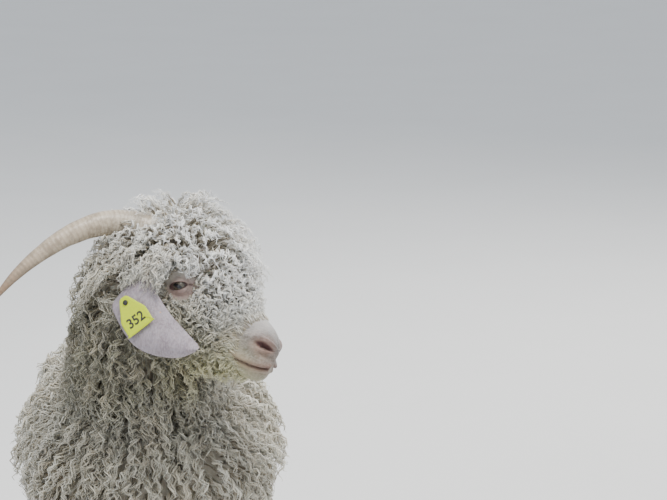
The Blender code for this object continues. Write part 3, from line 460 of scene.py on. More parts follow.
class Loft:
    """Oval sections strung along a smooth line."""

    narrowing = 0.0

    def __init__(self, name, rows, flip=1):
        self.name = name
        self.rows = np.array(rows, float)
        self.rows[:, 0] *= flip
        self.rows[:, :3] += TO_ORIGIN
        self.last = len(rows) - 1

    def skin(self, place, angle):
        step = 0.05
        row = smooth_rows(self.rows, place)
        ahead = smooth_rows(self.rows, np.asarray(place) + step)[..., :3]
        along = unit(ahead - smooth_rows(self.rows, np.asarray(place) - step)[..., :3])
        side = unit(np.array((1.0, 0, 0)) - along * along[..., :1])
        up = np.cross(side, along)
        sine, cosine = np.sin(angle)[..., None], np.cos(angle)[..., None]
        width = row[..., 3:4] * (1 - self.narrowing * np.maximum(cosine, 0))
        return row[..., :3] + side * sine * width + up * cosine * row[..., 4:5]

    def coat(self, place, angle):
        return np.maximum(smooth_rows(self.rows, place)[..., 5], 0)

    def grid(self, places, around):
        place, angle = np.meshgrid(places, ring_turns(around), indexing="ij")
        return place, angle, self.skin(place, angle)

    def ends(self):
        return self.rows[0, :3], self.rows[-1, :3]


def face_limit(up):
    """How far forward on the face the fleece grows, beside, above or below it."""
    side, top, under = FACE_LIMIT
    return side + (top - side) * np.maximum(up, 0) ** 3 + (under - side) * np.maximum(-up, 0) ** 4


class Head(Loft):
    """Skull and jaws, with the muzzle's own folds."""

    def __init__(self):
        self.name = "head"
        self.rows = np.array(HEAD_ROWS)
        self.last = len(HEAD_ROWS) - 1

    def bare(self, place, angle):
        """Smooth form in head axes."""
        row = smooth_rows(self.rows, place)
        x, top, under, width, widest = (row[..., k] for k in range(5))
        power = 2 / HEAD_SQUARENESS
        side, up = np.sin(angle), np.cos(angle)
        y = width * np.sign(side) * np.abs(side) ** power
        reach = np.where(up > 0, top - widest, widest - under)
        return np.stack((x, y, widest + reach * np.sign(up) * np.abs(up) ** power), axis=-1)

    def skin(self, place, angle):
        return on_head(self.bare(place, angle))

    def coat(self, place, angle):
        row = smooth_rows(self.rows, place)
        up = np.cos(angle)
        ends = np.where(up > 0, row[..., 5], row[..., 7])
        depth = row[..., 6] + (ends - row[..., 6]) * np.abs(up) ** 1.5
        local = self.bare(place, angle)
        away = np.linalg.norm(from_nearer_eye(local), axis=-1)
        depth = depth * np.clip((away - BARE_RING[0]) / (BARE_RING[1] - BARE_RING[0]), 0, 1)
        behind = face_limit(up) - local[..., 0]
        most = np.maximum(0.003 + behind * FACE_TAPER, 0) * (behind > 0)
        return np.clip(depth, 0, most)

    def ends(self):
        back, front = self.rows[0], self.rows[-1]
        start = on_head((back[0] - 0.006, 0, (back[1] + back[2]) / 2))
        return start, on_head((front[0] + 0.0015, 0, (front[1] + front[2]) / 2))


def from_nearer_eye(local):
    """Points of the head, as seen from the centre of the eye on their own side."""
    ones = np.ones_like(local[..., 1])
    return local - EYE_CENTRE * np.stack((ones, np.sign(local[..., 1]), ones), axis=-1)


# Meshes

def new_object(name, mesh):
    made = bpy.data.objects.new(name, mesh)
    bpy.context.scene.collection.objects.link(made)
    return made


def closed_mesh(name, bm):
    """Mesh of a closed shell, smooth, with its faces outwards."""
    bmesh.ops.recalc_face_normals(bm, faces=bm.faces)
    if bm.calc_volume(signed=True) < 0:
        bmesh.ops.reverse_faces(bm, faces=bm.faces)
    mesh = bpy.data.meshes.new(name)
    bm.to_mesh(mesh)
    bm.free()
    mesh.shade_smooth()
    return mesh


def ring_faces(rings, around):
    """Quads between rings of points, and a fan at each end to two last points."""
    ring, turn = np.meshgrid(np.arange(rings - 1), np.arange(around), indexing="ij")
    low, after = ring * around, (turn + 1) % around
    quads = np.stack((low + turn, low + after, low + around + after, low + around + turn), axis=-1)
    first, top = rings * around, (rings - 1) * around
    fans = [(first, (k + 1) % around, k) for k in range(around)]
    fans += [(first + 1, top + k, top + (k + 1) % around) for k in range(around)]
    return quads.reshape(-1, 4).tolist() + fans


def ring_object(name, rings, start, end):
    """Closed shell of rings of points, with a point at each end."""
    rings = np.asarray(rings, float)
    points = np.concatenate((rings.reshape(-1, 3), [start, end]))
    draft = bpy.data.meshes.new("draft")
    draft.from_pydata(points.tolist(), [], ring_faces(len(rings), rings.shape[1]))
    bm = bmesh.new()
    bm.from_mesh(draft)
    bpy.data.meshes.remove(draft)
    return new_object(name, closed_mesh(name, bm))


def positions(mesh):
    points = np.empty(len(mesh.vertices) * 3, np.float32)
    mesh.vertices.foreach_get("co", points)
    return points.reshape(-1, 3).astype(float)


def put_positions(mesh, points):
    mesh.vertices.foreach_set("co", np.asarray(points, np.float32).ravel())
    mesh.update()


def triangles_of(mesh):
    mesh.calc_loop_triangles()
    corners = np.empty(len(mesh.loop_triangles) * 3, np.int32)
    mesh.loop_triangles.foreach_get("vertices", corners)
    return corners.reshape(-1, 3)


def store(mesh, name, values, kind="FLOAT"):
    """Values or vectors for a mesh's points, under a name."""
    attribute = mesh.attributes.new(name, kind, "POINT")
    field = "vector" if kind == "FLOAT_VECTOR" else "value"
    attribute.data.foreach_set(field, np.asarray(values, np.float32).ravel())


def evaluated_mesh(obj):
    bpy.context.view_layer.update()
    return bpy.data.meshes.new_from_object(obj.evaluated_get(bpy.context.evaluated_depsgraph_get()))


def applied(obj):
    """Replaces the object's mesh by its evaluated one."""
    mesh = evaluated_mesh(obj)
    obj.modifiers.clear()
    obj.data = mesh
    return obj


def remove(obj):
    bpy.data.objects.remove(obj, do_unlink=True)


def united(obj, others):
    """One union with the others, which are then removed."""
    pieces = bpy.data.collections.new("pieces")
    bpy.context.scene.collection.children.link(pieces)
    for other in others:
        pieces.objects.link(other)
    modifier = obj.modifiers.new("union", "BOOLEAN")
    modifier.operation = "UNION"
    modifier.solver = "MANIFOLD"
    modifier.operand_type = "COLLECTION"
    modifier.collection = pieces
    applied(obj)
    for other in others:
        remove(other)
    bpy.data.collections.remove(pieces)
    return obj


# Skin

def body_skin(lofts):
    """Trunk, neck, tail and legs run together, with their joins smoothed."""
    lengths = []
    for loft in lofts:
        count, around = SKIN_STATIONS[loft.name]
        _, _, rings = loft.grid(np.linspace(0, loft.last, count), around)
        lengths.append(ring_object(loft.name, rings, *loft.ends()))
    body = united(lengths[0], lengths[1:])
    remesh = body.modifiers.new("one skin", "REMESH")
    remesh.mode = "VOXEL"
    remesh.voxel_size = VOXEL
    smooth = body.modifiers.new("soft joins", "SMOOTH")
    smooth.factor = 0.5
    smooth.iterations = VOXEL_SMOOTHING
    return applied(body)


def nostril_share(local):
    """Distance from the middle of the nearer nostril, where 1 is its rim, and the depth from its face."""
    turn = turn_about((0, 0, 1), NOSTRIL_TURN) @ turn_about((0, 1, 0), 7)
    near = (np.stack((local[..., 0], np.abs(local[..., 1]), local[..., 2]), axis=-1) - NOSTRIL_CENTRE) @ turn
    length, height = NOSTRIL_HALF
    along = near[..., 0] / length
    up = near[..., 2] - 0.0016 * np.cos(np.clip(along, -1.5, 1.5) * 1.5)
    height = height * (1.05 - 0.42 * np.clip(along, -1, 1))
    return np.sqrt(along**2 + (up / height) ** 2), near


def muzzle_folds(local):
    """Moves points of the head's smooth form into nostrils, lips, mouth, brow and cheek."""
    x, y, z = local[..., 0], local[..., 1], local[..., 2]
    middle_z = np.interp(x, (-0.09, 0.0, 0.1, 0.15), (-0.01, -0.01, -0.03, -0.043))
    out = unit(np.stack((np.where(x > 0.128, (x - 0.120) * 1.6, 0), y, z - middle_z), axis=-1))

    # nostril, its wing and the slit behind it
    opening, near = nostril_share(local)
    close = np.abs(near[..., 1]) < 0.013
    shift = -NOSTRIL_DEPTH * (1 - smoothstep(0.25, 1.05, opening)) * close
    wing = bell(opening, 1.55, 0.45) * close
    shift += 0.0019 * wing * (0.5 + 0.5 * np.tanh(near[..., 2] / 0.002))
    shift += 0.0007 * wing
    shift -= 0.0020 * bell(near[..., 0], -0.0155, 0.0045) * bell(near[..., 2], 0, 0.007) * close

    # mouth, lips and chin
    lip = z - np.interp(x, *zip(*MOUTH_LINE))
    front = smoothstep(MOUTH_CORNER - 0.004, MOUTH_CORNER + 0.010, x)
    for height, place, width in LIP_FORMS:
        shift += height * front * bell(lip, place, width)
    shift += 0.0052 * smoothstep(0.098, 0.116, x) * smoothstep(0.006, 0.015, -lip)

    # front of the nose, with the groove down its middle
    nose_front = smoothstep(0.124, 0.136, x)
    for height, place, width in NOSE_FORMS:
        shift += height * nose_front * bell(z, place, width)
    shift -= 0.0018 * smoothstep(0.132, 0.142, x) * bell(y, 0, 0.0014) * (lip > 0)

    for height, place, width, level, reach in FACE_FORMS:
        shift += height * bell(x, place, width) * bell(z, level, reach)
    return local + out * shift[..., None]


def head_skin(head):
    """Fine head, closest round the muzzle."""
    places = np.concatenate((np.linspace(0, 6.6, 64, endpoint=False), np.linspace(6.6, head.last, 120)))
    place, angle, _ = head.grid(places, 176)
    return ring_object("head", on_head(muzzle_folds(head.bare(place, angle))), *head.ends())


def eye_axes():
    """Along the opening towards its front corner, up across it, and outwards, for the left eye."""
    slant = math.radians(LID_SLANT)
    along = np.array((math.cos(slant), 0, math.sin(slant)))
    return along, np.cross((0, 1, 0), along) * -1, np.array((0.0, 1.0, 0.0))


def lid_opening(turns):
    """Rim of the almond-shaped opening, with its long front corner."""
    half_length, half_height = LID_HALF
    long = half_length * np.cos(turns) * (1 + 0.16 * np.maximum(np.cos(turns), 0) ** 6)
    high = half_height * np.sin(turns) * np.abs(np.sin(turns)) ** 0.35
    return long, high + 0.0006 * np.cos(turns)


def lids(side, head_tree):
    """Dome over the eyeball with an almond-shaped rim, running out into the cheek and brow."""
    along, up, out = (mirrored(axis, side) for axis in eye_axes())
    middle = mirrored(EYE_CENTRE, side)
    inward = HEAD_AXES @ -out
    turns = ring_turns(72)
    long, high = lid_opening(turns)
    wide, tall = LID_REACH * np.cos(turns), LID_REACH * np.sin(turns)
    rings = []
    for share, over in LID_PROFILE:
        if share < 0:
            u, v = long * (1 + share), high * (1 + share)
        else:
            u, v = long + (wide - long) * share, high + (tall - high) * share
        away = np.hypot(u, v)
        radius = EYE_RADIUS + over
        crease = np.zeros(len(turns))
        for depth, place, width, way in LID_CREASES:
            crease += depth * bell(share, place, width) * np.clip(way * np.sin(turns), 0, 1)
        dome = np.sqrt(np.maximum(radius**2 - away**2, 0)) - crease * (share > 0)
        ring = []
        for a, b, height, from_middle in zip(u, v, dome, away):
            base = middle + (along * a + up * b)
            if share > 0:
                # meets the head's own surface in a soft hollow, and dips under it at the outer circle
                origin = on_head(base + out * RAY_START)
                hit = head_tree.ray_cast(Vector(origin), Vector(inward), RAY_REACH)[0]
                ground = RAY_START - (np.array(hit) - origin) @ inward if hit else -0.01
                gap = (height if from_middle < radius * 0.999 else -0.01) - ground
                mix = np.clip(0.5 + 0.5 * gap / LID_BLEND, 0, 1)
                height = ground + gap * mix + LID_BLEND * mix * (1 - mix) * 0.5
                height -= 0.0025 * float(smoothstep(0.80, 1.0, share))
            ring.append(base + out * height)
        rings.append(ring)
    bottom = [point - out * 0.012 for point in rings[-1]]
    start = middle + out * (EYE_RADIUS - 0.002)
    end = np.mean(bottom, axis=0)
    return ring_object("lids", on_head([*rings, bottom]), on_head(start), on_head(end))


def ear_axes():
    """Along the ear from root to tip, and across it from its front edge."""
    along = unit(np.array(EAR_LINE[-1]) - EAR_LINE[1])
    return along, unit(np.array(EAR_ACROSS) - along * (along @ np.array(EAR_ACROSS)))


def ear_points(side, u, v, out):
    """Points of the ear's leaf: u from root to tip, v from front edge to rear edge."""
    u, v, out = np.broadcast_arrays(np.asarray(u, float), np.asarray(v, float), np.asarray(out, float))
    centre = smooth_rows(EAR_LINE, u * (len(EAR_LINE) - 1))
    along, across = ear_axes()
    face = np.cross(along, across)
    width = EAR_WIDTH * smooth_rows(np.array(EAR_OUTLINE)[:, None], u * (len(EAR_OUTLINE) - 1))[..., 0]
    swell = EAR_CUP * np.sin(math.pi * np.clip(v, 0, 1)) + EAR_FLARE * v * np.maximum(1 - u, 0) ** 2
    local = centre + across * (width * (v - 0.04))[..., None] + face * (swell + out)[..., None]
    return on_head(mirrored(local, side))


def ear(side):
    """Thin leaf with rolled edges and faint ridges along it."""
    round_tip = 0.9 + 0.1 * np.sin(np.linspace(0, math.pi / 2, 14))
    us = np.concatenate((np.linspace(0, 0.9, 46, endpoint=False), round_tip))
    vs = 0.5 - 0.5 * np.cos(np.linspace(0, math.pi, 30))
    u, v = np.meshgrid(us, vs, indexing="ij")
    tip = 1 - smoothstep(0.93, 1.0, u) * 0.22 * np.abs(2 * v - 1) ** 2
    across = 0.5 + (v - 0.5) * tip
    thin = EAR_THICKNESS / 2 * (1.2 - 0.45 * u) * (1 - 0.55 * smoothstep(0.9, 1, u))
    half = thin * np.sin(math.pi * (0.06 + 0.88 * v)) ** 0.5
    wave = 0.0008 * np.sin(9 * u + 2 * v) * smoothstep(0.1, 0.4, u)
    outer = ear_points(side, u, across, half + wave)
    inner = ear_points(side, u, across, wave - half)
    rings = np.concatenate((outer, inner[:, ::-1]), axis=1)
    start = ear_points(side, 0, 0.5, 0) - 0.001 * unit(rings[1, 5] - rings[0, 5])
    end = ear_points(side, 1, 0.5, 0) + 0.0012 * unit(rings[-1, 15] - rings[-5, 15])
    return ring_object("ear", rings, start, end)


def tree_of(obj):
    """Search tree over the triangles of an object."""
    return BVHTree.FromPolygons(positions(obj.data).tolist(), triangles_of(obj.data).tolist())


def ears_tree(ears):
    """One search tree over the faces of both ears."""
    points, faces = [], []
    for obj in ears:
        faces += [[corner + len(points) for corner in face.vertices] for face in obj.data.polygons]
        points += positions(obj.data).tolist()
    return BVHTree.FromPolygons(points, faces)


def kd_tree(points):
    tree = KDTree(len(points))
    for index, point in enumerate(points):
        tree.insert(point, index)
    tree.balance()
    return tree


def nearest_distance(tree, points, most):
    found = []
    for point in points:
        hit = tree.find_nearest(point, most)
        found.append(hit[3] if hit[0] is not None else most)
    return np.array(found)


def mark(local, middle, stretch, fade):
    """1 in the middle of a marking, 0 outside it."""
    return 1 - smoothstep(*fade, np.linalg.norm((local - middle) * stretch, axis=-1))


def stains(points):
    """Markings and painted shade that skin and fleece share: grey head, stained chin, and the dark front of
    the neck, part dirt and part painted shade cast by the head, with the brow streak.
    """
    local = from_head(points)
    x, y, z = points.T
    # the front of the neck, darkened partly as dirt and partly as painted shade cast by the head, paler
    # towards the chest and under the jaws
    mane = (1 - smoothstep(0.090, 0.150, -x)) * (1 - smoothstep(0.055, 0.125, x))
    mane = mane * (1 - smoothstep(0.600, 0.700, z))
    mane = mane * (1 - 0.62 * (1 - smoothstep(0.44, 0.54, z)))
    below = smoothstep(-0.02, 0.06, local[..., 0] + 0.7 * local[..., 2])
    mane = mane * (1 - 0.6 * below * smoothstep(0.60, 0.66, z))
    # the streak
    start, end = np.array(BROW_STREAK)
    along = unit(end - start)
    run = np.clip((local - start) @ along, 0, np.linalg.norm(end - start))[..., None]
    mane = np.maximum(mane, 0.65 * mark(local, start + run * along, (1.0, 0.6, 1.0), BROW_STREAK_FADE))
    mane = mane * (1 - smoothstep(-0.20, 0.0, y)) * smoothstep(0.22, 0.34, z)
    return mark(local, *GREY_HEAD), mark(local, *STAINED_CHIN), mane


def skin_marks(mesh, ears):
    """Where the skin is bare, pink or ear, where shade is painted dark into the nostrils and the mouth's
    groove, and where light is painted on the muzzle's top, for its material.
    """
    points = positions(mesh)
    local = from_head(points)
    x, y, z = local.T
    left = np.column_stack((x, np.abs(y), z))
    on_face = np.linalg.norm(local, axis=1) < 0.2
    nose = mark(left, NOSTRIL_CENTRE, (0.8, 1.0, 1.1), (0.007, 0.024))
    lip = z - np.interp(x, *zip(*MOUTH_LINE))
    # painted shade along the groove of the mouth
    line = bell(lip, 0, 0.0020) * smoothstep(0.084, 0.094, x)
    opening, inside = nostril_share(local)
    # painted shade inside the nostrils
    nostril = (1 - smoothstep(0.55, 1.02, opening)) * (np.abs(inside[:, 1]) < 0.017)
    along, over, _ = eye_axes()
    a, b = (left - EYE_CENTRE) @ along, (left - EYE_CENTRE) @ over
    rim = 1 - smoothstep(1.04, 1.22, np.hypot(a / LID_HALF[0], b / LID_HALF[1] * 0.92))
    corner = bell(a, 0.0162, 0.0044) * bell(b, 0.3 * (0.0135 - a), 0.0014)
    marks = {
        "muzzle": smoothstep(0.070, 0.105, x - 0.10 * (z + 0.04)),
        # painted light: the top of the muzzle lighter, as if lit from above
        "bridge": smoothstep(-0.026, 0.006, z) * (1 - nose),
        "nose": nose,
        "lips": bell(lip, 0, 0.0080) * smoothstep(0.083, 0.096, x),
        # painted shade in the nostrils and the mouth's groove
        "dark": np.maximum(nostril, 0.8 * line),
        "eyelid": 1 - smoothstep(0.009, 0.021, np.hypot((a - 0.005) / 1.4, b + 0.004)),
        "rim": np.maximum(rim, corner),
    }
    for name, values in marks.items():
        store(mesh, name, values * on_face)
    store(mesh, "leaf", 1 - smoothstep(0.0012, 0.0030, nearest_distance(ears, points.tolist(), 0.01)))
    for name, values in zip(("grey", "chin", "mane"), stains(points)):
        store(mesh, name, values)


# Materials

def add_node(tree, kind, inputs, settings):
    """New node with its settings, each input linked to another node's output or given a value."""
    node = tree.nodes.new(kind)
    for name, value in settings.items():
        setattr(node, name, value)
    for name, value in inputs.items():
        if isinstance(value, bpy.types.NodeSocket):
            tree.links.new(value, node.inputs[name])
        else:
            node.inputs[name].default_value = value
    return node


class Look:
    """A Principled material with short helpers for its nodes."""

    def __init__(self, name, roughness, **constants):
        self.material = bpy.data.materials.new(name)
        self.material.use_nodes = True
        self.tree = self.material.node_tree
        self.shader = self.tree.nodes["Principled BSDF"]
        self.shader.inputs["Roughness"].default_value = roughness
        for socket, value in constants.items():
            self.shader.inputs[socket.replace("_", " ")].default_value = value

    def node(self, kind, inputs=None, **settings):
        return add_node(self.tree, kind, inputs or {}, settings)

    def attribute(self, name):
        return self.node("ShaderNodeAttribute", attribute_name=name).outputs["Fac"]

    def place(self, scale=(1, 1, 1)):
        vector = self.node("ShaderNodeTexCoord").outputs["Object"]
        return self.node("ShaderNodeMapping", {"Vector": vector, "Scale": scale}).outputs["Vector"]

    def noise(self, vector, scale, detail=3.0, roughness=0.55):
        inputs = {"Vector": vector, "Scale": scale, "Detail": detail, "Roughness": roughness}
        return self.node("ShaderNodeTexNoise", inputs).outputs["Fac"]

    def spread(self, value, low, high):
        """The value stretched so that low to high becomes 0 to 1."""
        inputs = {"Value": value, "From Min": low, "From Max": high}
        return self.node("ShaderNodeMapRange", inputs, interpolation_type="SMOOTHSTEP").outputs["Result"]

    def worked_out(self, operation, *values):
        return self.node("ShaderNodeMath", dict(enumerate(values)), operation=operation).outputs["Value"]

    def times(self, value, factor):
        return self.worked_out("MULTIPLY", value, factor)

    def mix(self, factor, first, second):
        made = self.node("ShaderNodeMix", {0: factor}, data_type="RGBA")
        for number, colour in ((6, first), (7, second)):
            if isinstance(colour, tuple):
                made.inputs[number].default_value = (*colour, 1)
            else:
                self.tree.links.new(colour, made.inputs[number])
        return made.outputs[2]

    def tones(self, pattern, low, high, colours):
        """Two colours, mixed by a pattern stretched from low to high."""
        return self.mix(self.spread(pattern, low, high), *colours)

    def over(self, colour, name, share, other):
        """Another colour over the first one, as far as a stored mark says."""
        return self.mix(self.times(self.attribute(name), share), colour, other)

    def bump(self, height, distance, strength, below=None):
        inputs = {"Strength": strength, "Distance": distance, "Height": height}
        if below is not None:
            inputs["Normal"] = below
        return self.node("ShaderNodeBump", inputs).outputs["Normal"]

    def done(self, colour, normal=None):
        self.tree.links.new(colour, self.shader.inputs["Base Color"])
        if normal is not None:
            self.tree.links.new(normal, self.shader.inputs["Normal"])
        return self.material


def skin_look():
    """Pale short hair over pink skin, darker under the fleece."""
    look = Look(
        "skin and short hair", 0.62, Sheen_Weight=0.10, Sheen_Roughness=0.5,
        Subsurface_Weight=0.08, Subsurface_Radius=(0.010, 0.004, 0.002), Subsurface_Scale=0.35,
    )
    place = look.place()
    mottle, blotch, folds = look.noise(place, 60, 4), look.noise(place, 140, 3), look.noise(place, 260, 4)
    hair = look.noise(look.place((0.45, 1, 1)), 520, 4, 0.7)
    colour = look.tones(mottle, 0.35, 0.65, SKIN_UNDER_WOOL)
    colour = look.over(colour, "grey", 0.85, SKIN_UNDER_GREY)
    # dark front of the neck: part dirt, part painted shade cast by the head
    colour = look.over(colour, "mane", 0.6, SKIN_UNDER_STAIN_AND_SHADE)
    # painted light on the top of the muzzle
    fur = look.over(look.tones(hair, 0.36, 0.66, MUZZLE_HAIR), "bridge", 0.75, BRIDGE_PAINTED_LIGHT)
    muzzle = look.mix(0.6, look.tones(mottle, 0.3, 0.7, MUZZLE_SKIN), fur)
    colour = look.over(colour, "muzzle", 1.0, muzzle)
    colour = look.over(colour, "nose", 0.85, look.tones(blotch, 0.35, 0.65, NOSE_SKIN))
    colour = look.over(colour, "lips", 0.75, LIP_SKIN)
    lid = look.mix(0.25, look.tones(blotch, 0.3, 0.7, LID_SKIN), fur)
    colour = look.over(colour, "eyelid", 0.92, lid)
    colour = look.over(colour, "rim", 1.0, LID_EDGE)
    leaf = look.tones(look.noise(place, 70, 5), 0.3, 0.7, EAR_SKIN)
    hairs = look.spread(look.noise(look.place((1, 1, 0.45)), 420, 4, 0.6), 0.34, 0.66)
    leaf = look.mix(look.times(hairs, 0.5), leaf, EAR_DOWN)
    colour = look.over(colour, "leaf", 1.0, leaf)
    colour = look.over(colour, "chin", 0.55, CHIN_STAIN)
    # painted shade in the nostrils and the mouth's groove
    colour = look.over(colour, "dark", 1.0, NOSTRIL_AND_MOUTH_SHADE)
    return look.done(colour, look.bump(folds, 0.0009, 0.5, look.bump(hair, 0.0008, 0.7)))


def fleece_look():
    """Cream mohair: stained and darker at the root, paler at the tip, each lock a little different."""
    look = Look(
        "mohair fleece", 0.50, Specular_IOR_Level=0.5,
        Sheen_Weight=0.6, Sheen_Roughness=0.35, Sheen_Tint=(1.0, 0.97, 0.90, 1),
        Subsurface_Weight=0.25, Subsurface_Radius=(1.0, 0.85, 0.65), Subsurface_Scale=0.0025,
    )
    vary = look.attribute("vary")
    grown = look.spread(look.attribute("along"), 0.20, 0.80)
    colour = look.mix(grown, look.mix(vary, *WOOL_ROOT), look.mix(vary, *WOOL_TIP))
    colour = look.mix(look.times(look.attribute("grey"), grown), colour, look.mix(vary, *WOOL_GREY))
    # dark front of the neck: part dirt, part painted shade cast by the head; also the real brow streak
    colour = look.over(colour, "mane", 1.0, look.mix(vary, *WOOL_STAIN_AND_SHADE))
    colour = look.over(colour, "chin", 0.8, look.mix(vary, *WOOL_CHIN))
    dirt = look.spread(look.noise(look.place(), 24, 4), 0.46, 0.70)
    colour = look.mix(look.times(dirt, 0.34), colour, WOOL_DIRT)
    fibres = look.noise(look.place((1, 1, 0.3)), 2200, 2, 0.6)
    colour = look.mix(look.times(look.spread(fibres, 0.45, 0.7), 0.30), colour, WOOL_SHINE)
    return look.done(colour, look.bump(fibres, 0.0005, 0.8))


# Fleece

class CoatMap:
    """Finds, for a point of the skin, the body part that it is on, its place there and the coat's depth."""

    def __init__(self, lofts):
        self.names = np.array([loft.name for loft in lofts])
        points, rows = [], []
        for index, loft in enumerate(lofts):
            count, around = (110, 90) if loft.name == "head" else (70, 56)
            place, angle, skin = loft.grid(np.linspace(0, loft.last, count), around)
            points.append(skin.reshape(-1, 3))
            part, depth = np.full_like(place, index), loft.coat(place, angle)
            block = np.stack((part, place / loft.last, angle / math.tau, depth), axis=-1)
            rows.append(block.reshape(-1, 4))
        self.rows = np.concatenate(rows)
        self.tree = kd_tree(np.concatenate(points))

    def at(self, points):
        return self.rows[[self.tree.find(p)[1] for p in points]]


def scattered(mesh, coats, rng):
    """Roots spread evenly over the skin, closer where the locks are finer."""
    corners = positions(mesh)[triangles_of(mesh)]
    cross = np.cross(corners[:, 1] - corners[:, 0], corners[:, 2] - corners[:, 0])
    area = np.linalg.norm(cross, axis=1) / 2
    middles = corners.mean(axis=1)
    rows = coats.at(middles.tolist())
    spacing = spacing_at(coats, rows, middles)
    wanted = area / spacing**2 * (rows[:, DEPTH] > LEAST_COAT)
    picks = rng.choice(len(area), int(wanted.sum() * ROOT_TRIES), p=wanted / wanted.sum())
    a, b = rng.random(len(picks)), rng.random(len(picks))
    fold = a + b > 1
    a, b = np.where(fold, 1 - a, a)[:, None], np.where(fold, 1 - b, b)[:, None]
    corner = corners[picks]
    points = corner[:, 0] + (corner[:, 1] - corner[:, 0]) * a + (corner[:, 2] - corner[:, 0]) * b
    reach = spacing[picks] * 0.80
    tree = kd_tree(points)
    taken, kept = np.zeros(len(points), bool), []
    for k, point in enumerate(points):
        if taken[k]:
            continue
        kept.append(k)
        for _, other, _ in tree.find_range(point, reach[k]):
            taken[other] = True
    return points[kept], unit(cross[picks[kept]])


def kind_at(coats, rows, points):
    """Fleece style name for each point."""
    names = coats.names[rows[:, PART].astype(int)]
    front = (names == "torso") & (points[:, 1] < -0.20)
    return np.where(front, "chest", names)


def spacing_at(coats, rows, points):
    names = kind_at(coats, rows, points)
    spacing = np.array([FLEECE[name][SPACING] for name in names])
    thin = np.clip(rows[:, DEPTH] / 0.022, 0.55, 1.0)
    return spacing * np.where(names == "head", thin, 1.0)


def lie_of(names, points, normals):
    """Direction in which the coat lies, along the skin."""
    lie = np.tile((0.0, 0.22, -1.0), (len(points), 1))
    aside = points[:, 0] - TO_ORIGIN[0]
    parted = smoothstep(0.0, PARTING, np.abs(aside))
    outwards = np.sign(aside) * parted + np.sin(points[:, 1] * PARTING_WAVES) * (1 - parted)
    outwards = outwards * np.maximum(normals[:, 2], 0)
    trunk = (names == "torso") | (names == "chest")
    lie[trunk, 0] += 0.6 * outwards[trunk]
    head = names == "head"
    local, upward = from_head(points), normals @ HEAD_AXES[:, 2]
    brow = np.clip(upward, 0, 1)[:, None]
    down = np.array((0.0, 0.0, -1.0))
    sideways = HEAD_AXES[:, 1] * np.clip(local[:, 1:2] / 0.04, -1, 1)
    over = HEAD_AXES[:, 0] * (1.15 * brow) + sideways * (0.45 * brow) + down * (1.0 - 0.65 * brow)
    back = smoothstep(-0.030, -0.075, local[:, 0])[:, None]
    over = over * (1 - back) + (down - HEAD_AXES[:, 0] * 0.3) * back
    away = from_nearer_eye(local)
    near = (1 - smoothstep(0.018, 0.045, np.linalg.norm(away, axis=1)))[:, None]
    over = over * (1 - 0.75 * near) + (unit(away) @ HEAD_AXES.T) * near * 0.9
    lie[head] = over[head]
    return lie


def guides(points, normals, names, depth, skin_tree, rng):
    """Middle lines of the locks: sunk root, rising through the coat, then lying along the body."""
    count = len(points)
    style = np.array([FLEECE[name] for name in names])
    crown = (names == "head") * smoothstep(0.3, 0.8, normals @ HEAD_AXES[:, 2])
    stray = rng.normal(0, 1, (count, 3)) * (0.20 + 0.42 * crown)[:, None]
    lie = lie_of(names, points, normals)
    lie = lie + stray * np.linalg.norm(lie, axis=1, keepdims=True)
    lie = unit(lie - normals * np.sum(lie * normals, axis=1, keepdims=True))
    length = (depth * style[:, STRETCH] + style[:, EXTRA]) * rng.uniform(0.8, 1.25, count)
    height = depth * rng.uniform(0.55, 1.0, count) ** 0.8
    line = []
    for t in GUIDE_SHARES:
        out = height * math.sin(min(1.35 * t, 1.0) * math.pi / 2) - ROOT_SUNK * (1 - t)
        along = length * t**1.45
        free = points + normals * out[:, None] + lie * along[:, None]
        free[:, 2] -= 0.10 * length * t**2
        if t == 0:
            line.append(free)
            continue
        held = np.empty_like(free)
        for k, point in enumerate(free):
            place, normal, _, _ = skin_tree.find_nearest(point)
            away = np.array(point) - place
            size = np.linalg.norm(away)
            outward = away / size if size > 0.004 and away @ normal > 0 else np.array(normal)
            held[k] = np.array(place) + outward * max(out[k], 0.001)
        line.append(held * HUG + free * (1 - HUG))
    return np.stack(line, axis=1), style


def special(lines, roots, kind, finer=(1, 1)):
    """Locks placed one by one: their lines, their style made finer in thickness and curl, their roots."""
    style = np.array(FLEECE[kind])
    style[[THICKNESS, CURL]] *= finer
    return np.array(lines), np.tile(style, (len(lines), 1)), np.array(roots)


def off_horns(lines):
    """Moves locks out of the horns, so that they drape over them."""
    local = from_head(lines)
    horn_line = smooth_rows(HORN_ROWS, np.linspace(0.3, len(HORN_ROWS) - 1, 50))
    for side in (1, -1):
        for row in horn_line:
            away = local - mirrored(row[:3], side)
            size = np.linalg.norm(away, axis=2, keepdims=True)
            room = row[3:5].mean() + HORN_CLEARANCE
            pushed = mirrored(row[:3], side) + away * (room / np.maximum(size, 1e-6))
            local[:, 1:] = np.where(size < room, pushed, local)[:, 1:]
    return on_head(local)


def cuff(rng):
    """Locks that grow round the horns' roots and lie along the horns."""
    below = np.array(HORN_ROWS[0][:3]) - HORN_ROWS[1][:3]
    lines, roots = [], []
    for side in (1, -1):
        for _ in range(CUFF_LOCKS):
            start = rng.uniform(-0.2, 0.55)
            reach = rng.uniform(0.50, 1.0)
            around = rng.uniform(0, math.tau)
            swing = rng.normal(0, 0.35)
            rise = rng.uniform(0.3, 1.0) * CUFF_RISE
            line = []
            for t in GUIDE_SHARES:
                place, turn = start + reach * t, around + swing * t
                row = smooth_rows(HORN_ROWS, max(place, 0))
                lift = rise * math.sin(min(1.5 * t, 1.0) * math.pi / 2) * (1 - 0.6 * t**2)
                radial = np.array((0.25 * math.cos(turn), math.sin(turn), math.cos(turn)))
                out = unit(radial) * (row[3:5].mean() + 0.003 + lift)
                line.append(mirrored(row[:3] + below * max(-place, 0) + out, side))
            lines.append(on_head(line))
            roots.append((HEAD_PART, 0.12 + 0.05 * start, (around / math.tau) % 1, rise))
    return special(lines, roots, "head", (1, 0.6))


